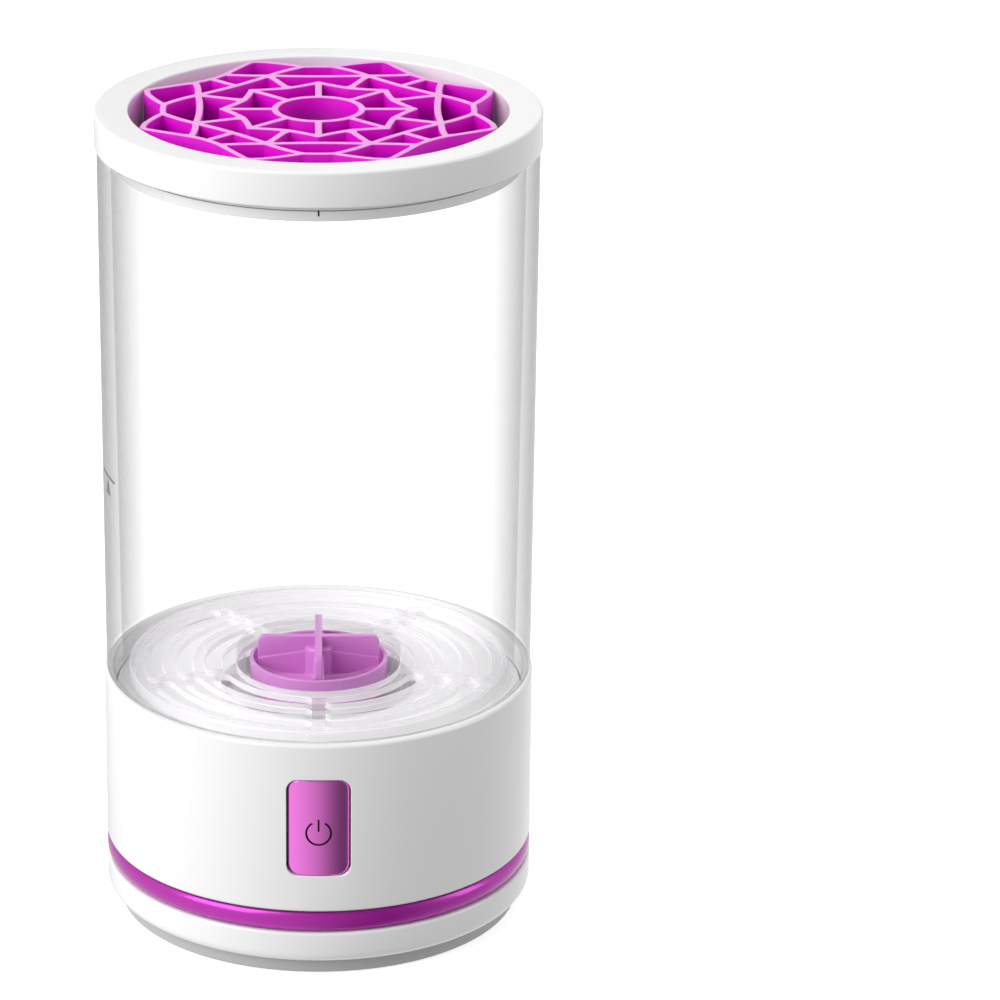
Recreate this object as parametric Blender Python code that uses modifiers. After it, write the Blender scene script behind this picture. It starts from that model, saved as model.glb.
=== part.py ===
"""Cordless brush cleaner: a base with a magnetic drive, a clear tank and a lid with a soft insert.

Millimetres throughout; MM turns them into Blender's metres. +Z is up, the front is -Y, and the base
stands on z = 0.
"""

import math

import bmesh
import bpy
from mathutils import Matrix, Vector

MM = 0.001
GAP = 0.3  # clearance between neighbouring pieces

# Base
BODY_R = 46.85
FOOT_R = 44.0
FOOT_IN_R = 38.0
FOOT_H = 3.0
PAN_Z = FOOT_H + GAP
PAN_FLOOR = 1.8
PAN_TOP = 10.6
TRIM_Z0 = PAN_TOP + 0.25
TRIM_Z1 = 15.35
SHELL_Z = TRIM_Z1 + 0.25
SHELL_TOP = 54.3
SHELL_WALL = 2.2
RIM_WALL = 1.75
SHELL_IN_R = BODY_R - SHELL_WALL
DECK_Z = 49.6
DECK_T = 2.2
DECK_R = SHELL_IN_R - GAP
DECK_LOW = DECK_Z - DECK_T
DECK_LEDGE_R = 43.3
DECK_LEDGE_T = 1.8
WELL_R = 21.4
WELL_Z = 45.9
CUP_R = WELL_R + 2.1
CUP_TOP = DECK_LOW - GAP
CUP_LOW = WELL_Z - 2.0
DECK_SOCKET_R = CUP_R + GAP
DECK_SOCKET_T = 1.8
DECK_SOCKET_Z = 44.5
TONGUE_R = SHELL_IN_R - GAP
TONGUE_T = 1.3
TONGUE_TOP = 19.0
TRIM_CROWN = 1.3

# Tank
TANK_LOW_R = 46.45
TANK_TOP_R = 47.0
TANK_SHOULDER = SHELL_TOP + GAP
TANK_FOOT_R = BODY_R - RIM_WALL - 0.35
TANK_FOOT_W = 2.5
TANK_FOOT_Z = DECK_Z + GAP
TANK_TOP = 172.7
TANK_IN_LOW_R = 43.0
TANK_IN_TOP_R = 44.1
TANK_FLOOR_T = 1.8
TANK_FLOOR = TANK_FOOT_Z + GAP + TANK_FLOOR_T
TANK_WELL_R = WELL_R - 0.4
TANK_WELL_Z = WELL_Z + GAP
WELL_FLOOR = TANK_WELL_Z + TANK_FLOOR_T
KEY_W = 4.4

# Lid and drying insert
LID_R = 47.5
LID_Z = 173.0
LID_TOP = 180.7
LID_MOUTH_R = 40.2
PLUG_R = 43.5
PLUG_Z = 169.0
SEAL_R = PLUG_R - 0.6
SEAL_Z = (171.5, 172.1)
LEDGE_R = 37.6
LEDGE_TOP = 171.8
INSERT_Z0 = LEDGE_TOP + GAP
INSERT_Z1 = LID_TOP - 0.3
INSERT_WALL = 1.2

# Wash plate and impeller
PLATE_R = 41.5
PLATE_TOP = 54.8
PLATE_T = 1.6
SKIRT_WALL = 1.3
COLLAR_R = 18.0
COLLAR_WALL = 1.4
COLLAR_TOP = 58.0
RIBS = 5
SLOT_ROWS = ((34.3, 37.9), (27.8, 31.2), (21.3, 24.9))
RIB_W = 3.0
IMP_R = 15.1
IMP_WALL = 0.9
IMP_Z = 49.0
IMP_RIM = 55.9
IMP_FLOOR = (49.9, 52.2)
VANE_R = 13.3
VANE_T = 1.6
VANE_TOP = 60.7
VANE_CORNER = 1.5
WEB_T = 2.5
WEB_TOP = 57.8
HUB_R = 3.2
HUB_TOP = 58.4
HUB_WALL = 0.95
PIN_R = 1.0
PIN_TOP = 57.0
PIN_BOSS_R = 2.4

# Button, switch and board, each as distances in front of the axis
BUTTON_W = 13.5
BUTTON_H = 22.0
BUTTON_Z = 35.2
BUTTON_CORNER = 2.4
INNER_Z = BUTTON_Z - 0.3
FLANGE = (42.4, 43.6)
FLANGE_W = BUTTON_W + 2.6
STEM_END = 41.9
PLUNGER = (39.9, 41.6)
PLUNGER_R = 1.6
SWITCH = (37.9, 40.6)
SWITCH_W = 6.0
PAD_W = 14.0
PAD_H = 22.0
BOARD = (36.0, 37.6)
BOARD_W = 30.0
BOARD_Z = 21.0
RAIL_X = (13.8, 17.0)
RAIL_Y = (34.0, 39.5)

# Motor and drive
MOTOR_R = 12.2
MOTOR_Z = 24.4
MOTOR_TOP = 36.3
SLEEVE_R = 13.6
BRACKET_R = 15.4
BRACKET_Z = 20.6
BRACKET_TOP = 37.9
EAR_X = 19.0
SLEEVE_Z = (22.0, 34.0)
SLEEVE_FLOOR = 22.8
END_CAP_Z = 23.1
SHAFT_R = 1.0
SHAFT_Z = (26.3, 42.2)
BUSH_R = 2.65
BUSH_Z = (35.5, MOTOR_TOP + 0.7)
NOSE_R = 4.0
ROTOR_R = 14.0
ROTOR_Z = (38.8, 42.7)
ROTOR_HUB_R = 3.4
ROTOR_HUB_Z = 37.6
ROTOR_MAGNET_R = 3.5
ROTOR_MAGNET_X = 8.5
IMP_MAGNET_R = 3.0
IMP_MAGNET_X = 8.0
IMP_MAGNET_Z = (49.95, 51.2)
LEAD_HOLE = ((-2.5, -18, 19), (2.5, -9, 26.5))

# Battery, charging inlet and screws
CELL_R = 7.1
CELL_L = 50.0
CELL_Y = 8.0
CELL_Z = 13.1
PORT_Z = 26.0
PORT_W = 9.0
PORT_H = 3.2
CRADLE_HALF = (22.0, 8.7)
SCREW_AT = 24.0
BOSS_R = 3.0
POST_R = 4.0
POST_TOP = 12.3

ROUND = 40  # sides of the large turned pieces
SMALL = 12  # sides of the small ones


# ---------------------------------------------------------------- scene and materials


def clear_scene():
    for item in list(bpy.data.objects):
        bpy.data.objects.remove(item, do_unlink=True)


def new_collection(name, hidden=False):
    group = bpy.data.collections.new(name)
    bpy.context.scene.collection.children.link(group)
    group.hide_render = hidden
    return group


clear_scene()
PARTS = new_collection("brush_cleaner")
CUTTERS = new_collection("cutters", hidden=True)


def finish_of(name, colour, roughness, metallic=0.0, transmission=0.0):
    material = bpy.data.materials.new(name)
    material.use_nodes = True
    shader = material.node_tree.nodes["Principled BSDF"]
    shader.inputs["Base Color"].default_value = (*colour, 1.0)
    shader.inputs["Roughness"].default_value = roughness
    shader.inputs["Metallic"].default_value = metallic
    shader.inputs["Transmission Weight"].default_value = transmission
    material.diffuse_color = (*colour, 1.0)
    return material


WHITE = (0.93, 0.93, 0.93)
MAGENTA = (0.55, 0.02, 0.50)
ORCHID = (0.55, 0.20, 0.55)
CLEAR = (0.95, 0.95, 0.97)
STEEL = (0.65, 0.65, 0.67)


# ---------------------------------------------------------------- shape helpers


def add_object(name, data, finish=None):
    """Links the object to the parts when it has a finish, and to the hidden helpers when it has none."""
    item = bpy.data.objects.new(name, data)
    if finish is None:
        CUTTERS.objects.link(item)
        item.hide_render = True
        item.display_type = "WIRE"
        return item
    PARTS.objects.link(item)
    item.data.materials.append(finish_of(name, *finish))
    return item


def mesh_object(name, shape, finish=None):
    mesh = bpy.data.meshes.new(name)
    shape.to_mesh(mesh)
    shape.free()
    return add_object(name, mesh, finish)


def shade(item):
    item.data.shade_smooth()
    item.data.set_sharp_from_angle(angle=math.radians(30))


def fillet(before, corner, after, radius, steps):
    """Points of the arc of this radius that rounds a corner of an outline."""
    to_before = (before - corner).normalized()
    to_after = (after - corner).normalized()
    half = to_before.angle(to_after) / 2
    reach = radius / math.tan(half)
    centre = corner + (to_before + to_after).normalized() * radius / math.sin(half)
    first = corner + to_before * reach - centre
    turn = first.angle_signed(corner + to_after * reach - centre)
    return [centre + Matrix.Rotation(-turn * i / steps, 2) @ first for i in range(steps + 1)]


def rounded(points, steps=2):
    """The outline with each corner given as (x, y, radius) rounded."""
    flat = [Vector(point[:2]) for point in points]
    outline = []
    for i, point in enumerate(points):
        radius = point[2] if len(point) > 2 else 0
        if radius:
            outline += fillet(flat[i - 1], flat[i], flat[(i + 1) % len(flat)], radius, steps)
        else:
            outline.append(flat[i])
    return outline


def signed_area(outline):
    pairs = zip(outline, outline[1:] + outline[:1])
    return sum(a.x * b.y - b.x * a.y for a, b in pairs) / 2


def turned(name, points, finish=None, sides=ROUND, steps=1):
    """A turned piece from its section (radius, z), which is open where it starts and ends on the axis."""
    section = rounded(points, steps)
    if signed_area(section) > 0:
        section.reverse()
    ends = len(section) - (section[0].x == 0)
    mesh = bpy.data.meshes.new(name)
    corners = [(p.x * MM, 0, p.y * MM) for p in section]
    mesh.from_pydata(corners, [(i, (i + 1) % len(section)) for i in range(ends)], [])
    item = add_object(name, mesh, finish)
    screw = item.modifiers.new("turn", "SCREW")
    screw.steps = screw.render_steps = sides
    screw.use_merge_vertices = True
    screw.merge_threshold = 0.00001
    screw.use_smooth_shade = True
    return item


def tube(name, outer, inner, z0, z1, finish=None, sides=ROUND):
    return turned(name, [(outer, z1), (outer, z0), (inner, z0), (inner, z1)], finish, sides)


def disc(name, radius, z0, z1, finish=None, sides=ROUND, at=(0, 0)):
    item = turned(name, [(0, z1), (radius, z1), (radius, z0), (0, z0)], finish, sides)
    item.location = (at[0] * MM, at[1] * MM, 0)
    if any(at):
        item.rotation_euler.z = math.pi / sides
    return item


def block(name, low, high, finish=None):
    """A box between two corners."""
    low, high = Vector(low) * MM, Vector(high) * MM
    shape = bmesh.new()
    bmesh.ops.create_cube(shape, size=1)
    bmesh.ops.scale(shape, vec=high - low, verts=shape.verts)
    bmesh.ops.translate(shape, vec=(low + high) / 2, verts=shape.verts)
    return mesh_object(name, shape, finish)


def rod(name, radius, start, end, finish=None, sides=SMALL):
    """A cylinder between two points."""
    start, end = Vector(start), Vector(end)
    shape = bmesh.new()
    size = {"radius1": radius * MM, "radius2": radius * MM, "depth": (end - start).length * MM}
    bmesh.ops.create_cone(shape, cap_ends=True, segments=sides, **size)
    turn = Vector((0, 0, 1)).rotation_difference(end - start).to_matrix().to_4x4()
    place = Matrix.Translation((start + end) / 2 * MM) @ turn
    bmesh.ops.transform(shape, matrix=place, verts=shape.verts)
    return mesh_object(name, shape, finish)


def flat_solid(name, outlines, z0, z1, finish=None):
    """Outlines filled between two heights, with the inner ones as holes, as one mesh."""
    curve = bpy.data.curves.new(name, "CURVE")
    curve.dimensions = "2D"
    curve.fill_mode = "BOTH"
    curve.extrude = (z1 - z0) / 2 * MM
    for outline in outlines:
        spline = curve.splines.new("POLY")
        spline.points.add(len(outline) - 1)
        for point, place in zip(spline.points, outline):
            point.co = (place.x * MM, place.y * MM, 0, 1)
        spline.use_cyclic_u = True
    guide = bpy.data.objects.new(name + "_outline", curve)
    CUTTERS.objects.link(guide)
    guide.location.z = (z0 + z1) / 2 * MM
    bpy.context.view_layer.update()
    evaluated = guide.evaluated_get(bpy.context.evaluated_depsgraph_get())
    mesh = bpy.data.meshes.new_from_object(evaluated)
    shape = bmesh.new()
    shape.from_mesh(mesh)
    bmesh.ops.transform(shape, matrix=guide.matrix_world, verts=shape.verts)
    bmesh.ops.remove_doubles(shape, verts=shape.verts, dist=0.000001)
    bmesh.ops.recalc_face_normals(shape, faces=shape.faces)
    bpy.data.objects.remove(guide)
    bpy.data.meshes.remove(mesh)
    return mesh_object(name, shape, finish)


def combine(item, other, operation):
    boolean = item.modifiers.new(f"{operation.lower()}_{other.name}", "BOOLEAN")
    boolean.operation = operation
    boolean.object = other
    return item


def cut(item, *others):
    for other in others:
        combine(item, other, "DIFFERENCE")


def join(item, *others):
    for other in others:
        combine(item, other, "UNION")


def polar(radius, degrees):
    angle = math.radians(degrees)
    return Vector((radius * math.cos(angle), radius * math.sin(angle)))


def arc(radius, start, end, steps):
    return [polar(radius, start + (end - start) * i / steps) for i in range(steps + 1)]


def rounded_rectangle(width, height, corner, centre_y=0.0, steps=4):
    half = (width / 2, height / 2)
    signs = ((1, 1), (-1, 1), (-1, -1), (1, -1))
    return rounded([(sx * half[0], centre_y + sy * half[1], corner) for sx, sy in signs], steps)


def standing(name, outline, near, far, finish=None):
    """An outline in X and Z filled from one distance to another in front of the axis."""
    item = flat_solid(name, [outline], near, far, finish)
    item.data.transform(Matrix.Rotation(math.radians(90), 4, "X"))
    return item


# ---------------------------------------------------------------- base


def four_corners():
    return [(sx * SCREW_AT, sy * SCREW_AT) for sx in (-1, 1) for sy in (-1, 1)]


def make_upper_shell():
    """The outside wall, with a ledge inside that carries the deck."""
    section = [
        (SHELL_IN_R, DECK_Z),
        (BODY_R - RIM_WALL, DECK_Z),
        (BODY_R - RIM_WALL, SHELL_TOP, 0.4),
        (BODY_R, SHELL_TOP, 0.6),
        (BODY_R, SHELL_Z, 0.8),
        (SHELL_IN_R, SHELL_Z),
    ]
    shell = turned("upper_shell", section, (WHITE, 0.25))
    ledge_z = (CUP_TOP - DECK_LEDGE_T, CUP_TOP)
    ledge = tube("deck_ledge", SHELL_IN_R + 0.4, DECK_LEDGE_R, *ledge_z)
    half = FLANGE_W / 2 + 1.0
    cut(ledge, block("cut_ledge", (-half, -50, ledge_z[0] - 1), (half, -40, ledge_z[1] + 1)))
    join(shell, ledge)
    wide, tall = BUTTON_W + 2 * GAP, BUTTON_H + 2 * GAP
    outline = rounded_rectangle(wide, tall, BUTTON_CORNER + GAP, BUTTON_Z)
    cut(shell, standing("cut_button", outline, 40, 50))
    inlet = rounded_rectangle(PORT_W + 0.8, PORT_H + 0.8, 1.9, PORT_Z)
    cut(shell, standing("cut_inlet", inlet, -50, -40))
    key = KEY_W / 2 + GAP
    cut(shell, block("cut_key", (-key, -46.0, TANK_FOOT_Z + 1.1), (key, -44.0, SHELL_TOP + 1)))
    shelf = PORT_Z - PORT_H / 2 - 1.8
    join(shell, block("port_shelf", (-8, 34, shelf - 2), (8, SHELL_IN_R + 0.75, shelf)))


def make_deck():
    """The plate that the tank stands on, with the screw bosses and the board's rails under it."""
    section = [(DECK_R, DECK_Z), (DECK_R, DECK_LOW), (WELL_R, DECK_LOW), (WELL_R, DECK_Z)]
    deck = turned("deck", section, (WHITE, 0.25))
    socket = (DECK_SOCKET_R + DECK_SOCKET_T, DECK_SOCKET_R)
    join(deck, tube("cup_socket", *socket, DECK_SOCKET_Z, DECK_LOW + 1))
    for i, at in enumerate(four_corners()):
        join(deck, disc(f"boss_{i}", BOSS_R, POST_TOP + 0.4, DECK_Z - 1, None, SMALL, at))
        cut(deck, disc(f"cut_pilot_{i}", 1.25, POST_TOP - 1, 22, None, SMALL, at))
    for side in (-1, 1):
        rail = sorted((side * RAIL_X[0], side * RAIL_X[1]))
        slot = sorted((side * (RAIL_X[0] - 0.8), side * (BOARD_W / 2 + GAP)))
        low, high = (rail[0], -RAIL_Y[1], BOARD_Z - 1), (rail[1], -RAIL_Y[0], DECK_Z - 1)
        join(deck, block(f"rail_{side}", low, high))
        low = (slot[0], -BOARD[1] - GAP, BOARD_Z - GAP)
        high = (slot[1], -BOARD[0] + GAP, DECK_LOW + 0.3)
        cut(deck, block(f"cut_rail_{side}", low, high))


def make_well_cup():
    """The closed cup in the middle of the deck, which the motor hangs from."""
    section = [
        (0, WELL_Z),
        (WELL_R, WELL_Z),
        (WELL_R, CUP_TOP),
        (CUP_R, CUP_TOP),
        (CUP_R, CUP_LOW),
        (0, CUP_LOW),
    ]
    cup = turned("well_cup", section, (WHITE, 0.3))
    for side in (-1, 1):
        at = (side * EAR_X, 0)
        join(cup, disc(f"ear_boss_{side}", 2.75, BRACKET_TOP + 0.4, WELL_Z - 1, None, SMALL, at))
        cut(cup, disc(f"cut_ear_pilot_{side}", 1.1, BRACKET_TOP, 43, None, SMALL, at))


def make_trim_ring():
    middle = (TRIM_Z0 + TRIM_Z1) / 2
    half = (TRIM_Z1 - TRIM_Z0) / 2
    crown = []
    for i in range(7):
        angle = math.radians(90 - 30 * i)
        outwards = TRIM_CROWN * (math.cos(angle) - 1)
        crown.append((BODY_R + outwards, middle + half * math.sin(angle)))
    section = [(SHELL_IN_R, TRIM_Z1), *crown, (SHELL_IN_R, TRIM_Z0)]
    turned("trim_ring", section, (MAGENTA, 0.15))


def make_lower_shell():
    wall_in = TONGUE_R - TONGUE_T
    floor = PAN_Z + PAN_FLOOR
    section = [
        (0, floor),
        (wall_in, floor, 0.8),
        (wall_in, TONGUE_TOP),
        (TONGUE_R, TONGUE_TOP),
        (TONGUE_R, PAN_TOP),
        (BODY_R, PAN_TOP, 0.6),
        (BODY_R, PAN_Z, 2.6),
        (0, PAN_Z),
    ]
    pan = turned("lower_shell", section, (WHITE, 0.25), steps=2)
    for i, at in enumerate(four_corners()):
        join(pan, disc(f"post_{i}", POST_R, PAN_Z + 1, POST_TOP, None, SMALL, at))
        cut(pan, disc(f"cut_head_{i}", 2.6, PAN_Z - 1, PAN_Z + 2.9, None, 16, at))
        cut(pan, disc(f"cut_shank_{i}", 1.3, PAN_Z, POST_TOP + 1, None, SMALL, at))


def make_foot_ring():
    corners = [(FOOT_R, FOOT_H, 0.4), (FOOT_R, 0, 0.6), (FOOT_IN_R, 0, 0.6), (FOOT_IN_R, FOOT_H)]
    turned("foot_ring", corners, ((0.72, 0.72, 0.73), 0.7))


def make_screw(name, at, head_r, head_z, head_h, shank_r, tip_z):
    """A pan-head screw with its point upwards, as one turned piece with a cross in its head."""
    section = [
        (0, tip_z),
        (shank_r, tip_z - 1),
        (shank_r, head_z + head_h),
        (head_r, head_z + head_h),
        (head_r, head_z + 0.3),
        (head_r - 0.6, head_z),
        (0, head_z),
    ]
    screw = turned(name, section, ((0.6, 0.6, 0.62), 0.3, 1.0), 16)
    screw.location = (at[0] * MM, at[1] * MM, 0)
    half, thin = head_r * 0.6, 0.3
    for i, (x, y) in enumerate(((half, thin), (thin, half))):
        low = (at[0] - x, at[1] - y, head_z - 1)
        high = (at[0] + x, at[1] + y, head_z + 0.8)
        cut(screw, block(f"cut_{name}_{i}", low, high))


def make_case_screws():
    for i, at in enumerate(four_corners(), 1):
        make_screw(f"case_screw_{i}", at, 2.25, PAN_Z + 0.8, 1.8, 0.95, 20.0)


# ---------------------------------------------------------------- button and electronics


def make_power_button():
    """The button's face, a flange that keeps it in, and a stem that reaches the switch."""
    outline = rounded_rectangle(BUTTON_W, BUTTON_H, BUTTON_CORNER, BUTTON_Z)
    button = standing("power_button", outline, FLANGE[0] + 0.4, 50, (MAGENTA, 0.2))
    combine(button, disc("button_face", BODY_R, 20, 50, None, 144), "INTERSECT")
    edge = rounded_rectangle(FLANGE_W, BUTTON_H + 2.2, 3.2, INNER_Z, 2)
    join(button, standing("button_flange", edge, *FLANGE))
    join(button, rod("button_stem", 2.0, before(STEM_END), before(FLANGE[0] + 0.6)))


def before(distance, z=BUTTON_Z):
    """The point at a distance in front of the axis, at the button's height."""
    return Vector((0, -distance, z))


def make_button_pad():
    outer = rounded_rectangle(PAD_W, PAD_H, 2, INNER_Z, 2)
    inner = rounded_rectangle(PAD_W - 4, PAD_H - 4, 1.5, INNER_Z, 2)
    pad_y = (BOARD[1] + GAP, PLUNGER[1])
    pad = flat_solid("button_pad", [outer, inner], *pad_y, ((0.8, 0.8, 0.8), 0.6))
    pad.data.transform(Matrix.Rotation(math.radians(90), 4, "X"))


def make_switch():
    half = SWITCH_W / 2
    low = (-half, -SWITCH[1], BUTTON_Z - half)
    high = (half, -SWITCH[0], BUTTON_Z + half)
    body = block("switch_body", low, high, ((0.05, 0.05, 0.05), 0.5))
    bore = (before(PLUNGER[0] - 0.9), before(PLUNGER[1] + 1))
    cut(body, rod("cut_switch", PLUNGER_R + GAP, *bore))
    ends = (before(PLUNGER[0]), before(PLUNGER[1]))
    rod("switch_plunger", PLUNGER_R, *ends, ((0.7, 0.7, 0.65), 0.5))


def make_control_board():
    half = BOARD_W / 2
    low, high = (-half, -BOARD[1], BOARD_Z), (half, -BOARD[0], DECK_LOW - 0.4)
    board = block("control_board", low, high, ((0.03, 0.22, 0.10), 0.4))
    back = -BOARD[0]
    chip = block("board_chip", (-4, back - 0.5, 36), (4, back + 1.4, 42))
    socket = block("board_socket", (-8, back - 0.5, 29), (8, back + 2.6, 33))
    join(board, chip, socket)


def make_charge_port():
    outer = rounded_rectangle(PORT_W, PORT_H, 1.5, PORT_Z)
    inner = rounded_rectangle(PORT_W - 0.7, PORT_H - 0.7, 1.2, PORT_Z)
    port = standing("charge_port", outer, -45.7, -38.3, ((0.7, 0.7, 0.72), 0.25, 1.0))
    cut(port, standing("cut_port", inner, -47, -38.9))
    tongue = ((-3.2, 39.2, PORT_Z - 0.35), (3.2, 45.2, PORT_Z + 0.35))
    block("port_tongue", *tongue, ((0.04, 0.04, 0.04), 0.5))
    under = PORT_Z - PORT_H / 2 - GAP
    block("port_board", (-7, 34.5, under - 1.2), (7, 43.6, under), ((0.03, 0.22, 0.10), 0.4))


def make_battery():
    half = CELL_L / 2
    ends = ((-half, CELL_Y, CELL_Z), (half, CELL_Y, CELL_Z))
    rod("battery_cell", CELL_R, *ends, ((0.1, 0.25, 0.6), 0.35), 32)
    half_x, half_y = CRADLE_HALF
    low = (-half_x, CELL_Y - half_y, PAN_Z + PAN_FLOOR + GAP)
    high = (half_x, CELL_Y + half_y, CELL_Z - 1.5)
    cradle = block("battery_cradle", low, high, ((0.12, 0.12, 0.13), 0.6))
    room = ((-30, CELL_Y, CELL_Z), (30, CELL_Y, CELL_Z))
    cut(cradle, rod("cut_cell", CELL_R + GAP, *room, None, 32))


def make_lead(name, route, colour):
    """A two-core lead along a smooth line through its route."""
    curve = bpy.data.curves.new(name, "CURVE")
    curve.dimensions = "3D"
    curve.bevel_depth = 0.9 * MM
    curve.bevel_resolution = 1
    curve.use_fill_caps = True
    places = smooth_line([Vector(place) for place in route], 3)
    spline = curve.splines.new("POLY")
    spline.points.add(len(places) - 1)
    for point, place in zip(spline.points, places):
        point.co = (*(place * MM), 1)
    add_object(name, curve, (colour, 0.5))


def smooth_line(places, steps):
    """Points of the Catmull-Rom line through the places."""
    padded = [places[0] * 2 - places[1], *places, places[-1] * 2 - places[-2]]
    line = [places[0]]
    for a, b, c, d in zip(padded, padded[1:], padded[2:], padded[3:]):
        for i in range(1, steps + 1):
            t = i / steps
            bend = (2 * a - 5 * b + 4 * c - d) * t * t + (3 * b - a - 3 * c + d) * t**3
            line.append((2 * b + (c - a) * t + bend) / 2)
    return line


def make_leads():
    from_cell = [(26.2, 8, 13.1), (27.5, 4, 14), (22, -6, 17), (15, -19, 20)]
    from_cell += [(10, -28, 23), (9, -35.2, 25)]
    from_motor = [(0, -12.4, 23.6), (0, -19, 22.6), (-2, -28, 23), (-3, -35.2, 25)]
    from_port = [(-5, 33.9, 23.3), (-12, 27, 22.5), (-20, 14, 22.5), (-22, 0, 22.5), (-18, -15, 22.5)]
    from_port += [(-12, -28, 23), (-9, -35.2, 25)]
    make_lead("battery_lead", from_cell, (0.6, 0.03, 0.03))
    make_lead("motor_lead", from_motor, (0.1, 0.1, 0.1))
    make_lead("charge_lead", from_port, (0.6, 0.6, 0.6))


# ---------------------------------------------------------------- motor and drive


def make_motor():
    can = [
        (0, SHAFT_Z[0] - GAP),
        (SHAFT_R + GAP, SHAFT_Z[0] - GAP),
        (SHAFT_R + GAP, BUSH_Z[0] - GAP),
        (BUSH_R + GAP, BUSH_Z[0] - GAP),
        (BUSH_R + GAP, MOTOR_TOP + 0.9),
        (NOSE_R, MOTOR_TOP + 0.9),
        (NOSE_R, MOTOR_TOP),
        (MOTOR_R, MOTOR_TOP, 0.8),
        (MOTOR_R, MOTOR_Z),
        (0, MOTOR_Z),
    ]
    turned("motor_can", can, (STEEL, 0.3, 1.0), 40)
    cap_z = (END_CAP_Z, MOTOR_Z - GAP)
    disc("motor_end_cap", MOTOR_R - 0.3, *cap_z, ((0.85, 0.85, 0.8), 0.5), 40)
    bronze = ((0.7, 0.45, 0.2), 0.4, 1.0)
    tube("motor_bush", BUSH_R, SHAFT_R + 0.25, *BUSH_Z, bronze, SMALL)
    disc("motor_shaft", SHAFT_R, *SHAFT_Z, (STEEL, 0.2, 1.0), SMALL)


def make_motor_sleeve():
    section = [
        (SLEEVE_R, SLEEVE_Z[1], 0.3),
        (SLEEVE_R, SLEEVE_Z[0], 0.4),
        (8, SLEEVE_Z[0]),
        (8, SLEEVE_FLOOR),
        (MOTOR_R + GAP, SLEEVE_FLOOR),
        (MOTOR_R + GAP, SLEEVE_Z[1]),
    ]
    sleeve = turned("motor_sleeve", section, ((0.1, 0.1, 0.1), 0.8), 32)
    cut(sleeve, block("cut_sleeve", *LEAD_HOLE))


def make_motor_bracket():
    floor = BRACKET_Z + 1.1
    section = [
        (0, floor),
        (SLEEVE_R + GAP, floor),
        (SLEEVE_R + GAP, BRACKET_TOP),
        (BRACKET_R, BRACKET_TOP),
        (BRACKET_R, BRACKET_Z),
        (0, BRACKET_Z),
    ]
    bracket = turned("motor_bracket", section, ((0.8, 0.8, 0.8), 0.5), 32)
    for side in (-1, 1):
        ear = sorted((side * 14.6, side * (EAR_X + 3.5)))
        low, high = (ear[0], -3.5, BRACKET_TOP - 1.7), (ear[1], 3.5, BRACKET_TOP - 0.1)
        join(bracket, block(f"ear_{side}", low, high))
        at = (side * EAR_X, 0)
        hole_z = (BRACKET_TOP - 4, BRACKET_TOP + 1)
        cut(bracket, disc(f"cut_ear_{side}", 1.4, *hole_z, None, SMALL, at))
        number = 1 if side < 0 else 2
        make_screw(f"motor_screw_{number}", at, 2.0, BRACKET_TOP - 3.6, 1.6, 0.8, 42.6)
    cut(bracket, block("cut_bracket", *LEAD_HOLE))


def make_drive_rotor():
    bore = SHAFT_R + 0.25
    section = [
        (ROTOR_R, ROTOR_Z[1], 0.4),
        (ROTOR_R, ROTOR_Z[0], 0.4),
        (ROTOR_HUB_R, ROTOR_Z[0]),
        (ROTOR_HUB_R, ROTOR_HUB_Z),
        (bore, ROTOR_HUB_Z),
        (bore, ROTOR_Z[1]),
    ]
    rotor = turned("drive_rotor", section, ((0.15, 0.15, 0.16), 0.5), 32)
    low, high = ROTOR_Z[0] + 1.6, ROTOR_Z[1] - 0.3
    for i, side in enumerate((-1, 1), 1):
        at = (side * ROTOR_MAGNET_X, 0)
        pocket = (ROTOR_MAGNET_R + GAP, low - GAP, ROTOR_Z[1] + 1)
        cut(rotor, disc(f"cut_rotor_{i}", *pocket, None, SMALL, at))
        disc(f"drive_magnet_{i}", ROTOR_MAGNET_R, low, high, (STEEL, 0.2, 1.0), SMALL, at)


# ---------------------------------------------------------------- tank, plate and impeller


def make_tank():
    pin = PIN_R + 0.25
    well_in = TANK_WELL_R - TANK_FLOOR_T
    section = [
        (0, TANK_WELL_Z + 0.7),
        (pin, TANK_WELL_Z + 0.7),
        (pin, WELL_FLOOR + 0.7),
        (PIN_BOSS_R, WELL_FLOOR + 0.7),
        (PIN_BOSS_R, WELL_FLOOR),
        (well_in, WELL_FLOOR),
        (well_in, TANK_FLOOR),
        (TANK_IN_LOW_R, TANK_FLOOR, 1.2),
        (TANK_IN_TOP_R, TANK_TOP),
        (TANK_TOP_R, TANK_TOP, 0.4),
        (TANK_LOW_R, TANK_SHOULDER, 0.5),
        (TANK_FOOT_R, TANK_SHOULDER),
        (TANK_FOOT_R, TANK_FOOT_Z, 0.8),
        (TANK_FOOT_R - TANK_FOOT_W, TANK_FOOT_Z),
        (TANK_FOOT_R - TANK_FOOT_W, TANK_FOOT_Z + GAP),
        (TANK_WELL_R, TANK_FOOT_Z + GAP),
        (TANK_WELL_R, TANK_WELL_Z, 0.6),
        (0, TANK_WELL_Z),
    ]
    tank = turned("tank", section, (CLEAR, 0.05, 0.0, 1.0))
    half = KEY_W / 2
    low = (-half, -TANK_FOOT_R - 0.95, TANK_FOOT_Z + 1.4)
    join(tank, block("tank_key", low, (half, -TANK_FOOT_R + 1, TANK_SHOULDER + 0.6)))


def make_spindle_pin():
    low = WELL_FLOOR - 0.8
    section = [(0, PIN_TOP), (PIN_R, PIN_TOP - 0.5), (PIN_R, low), (0, low)]
    turned("spindle_pin", section, (STEEL, 0.15, 1.0), SMALL)


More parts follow.
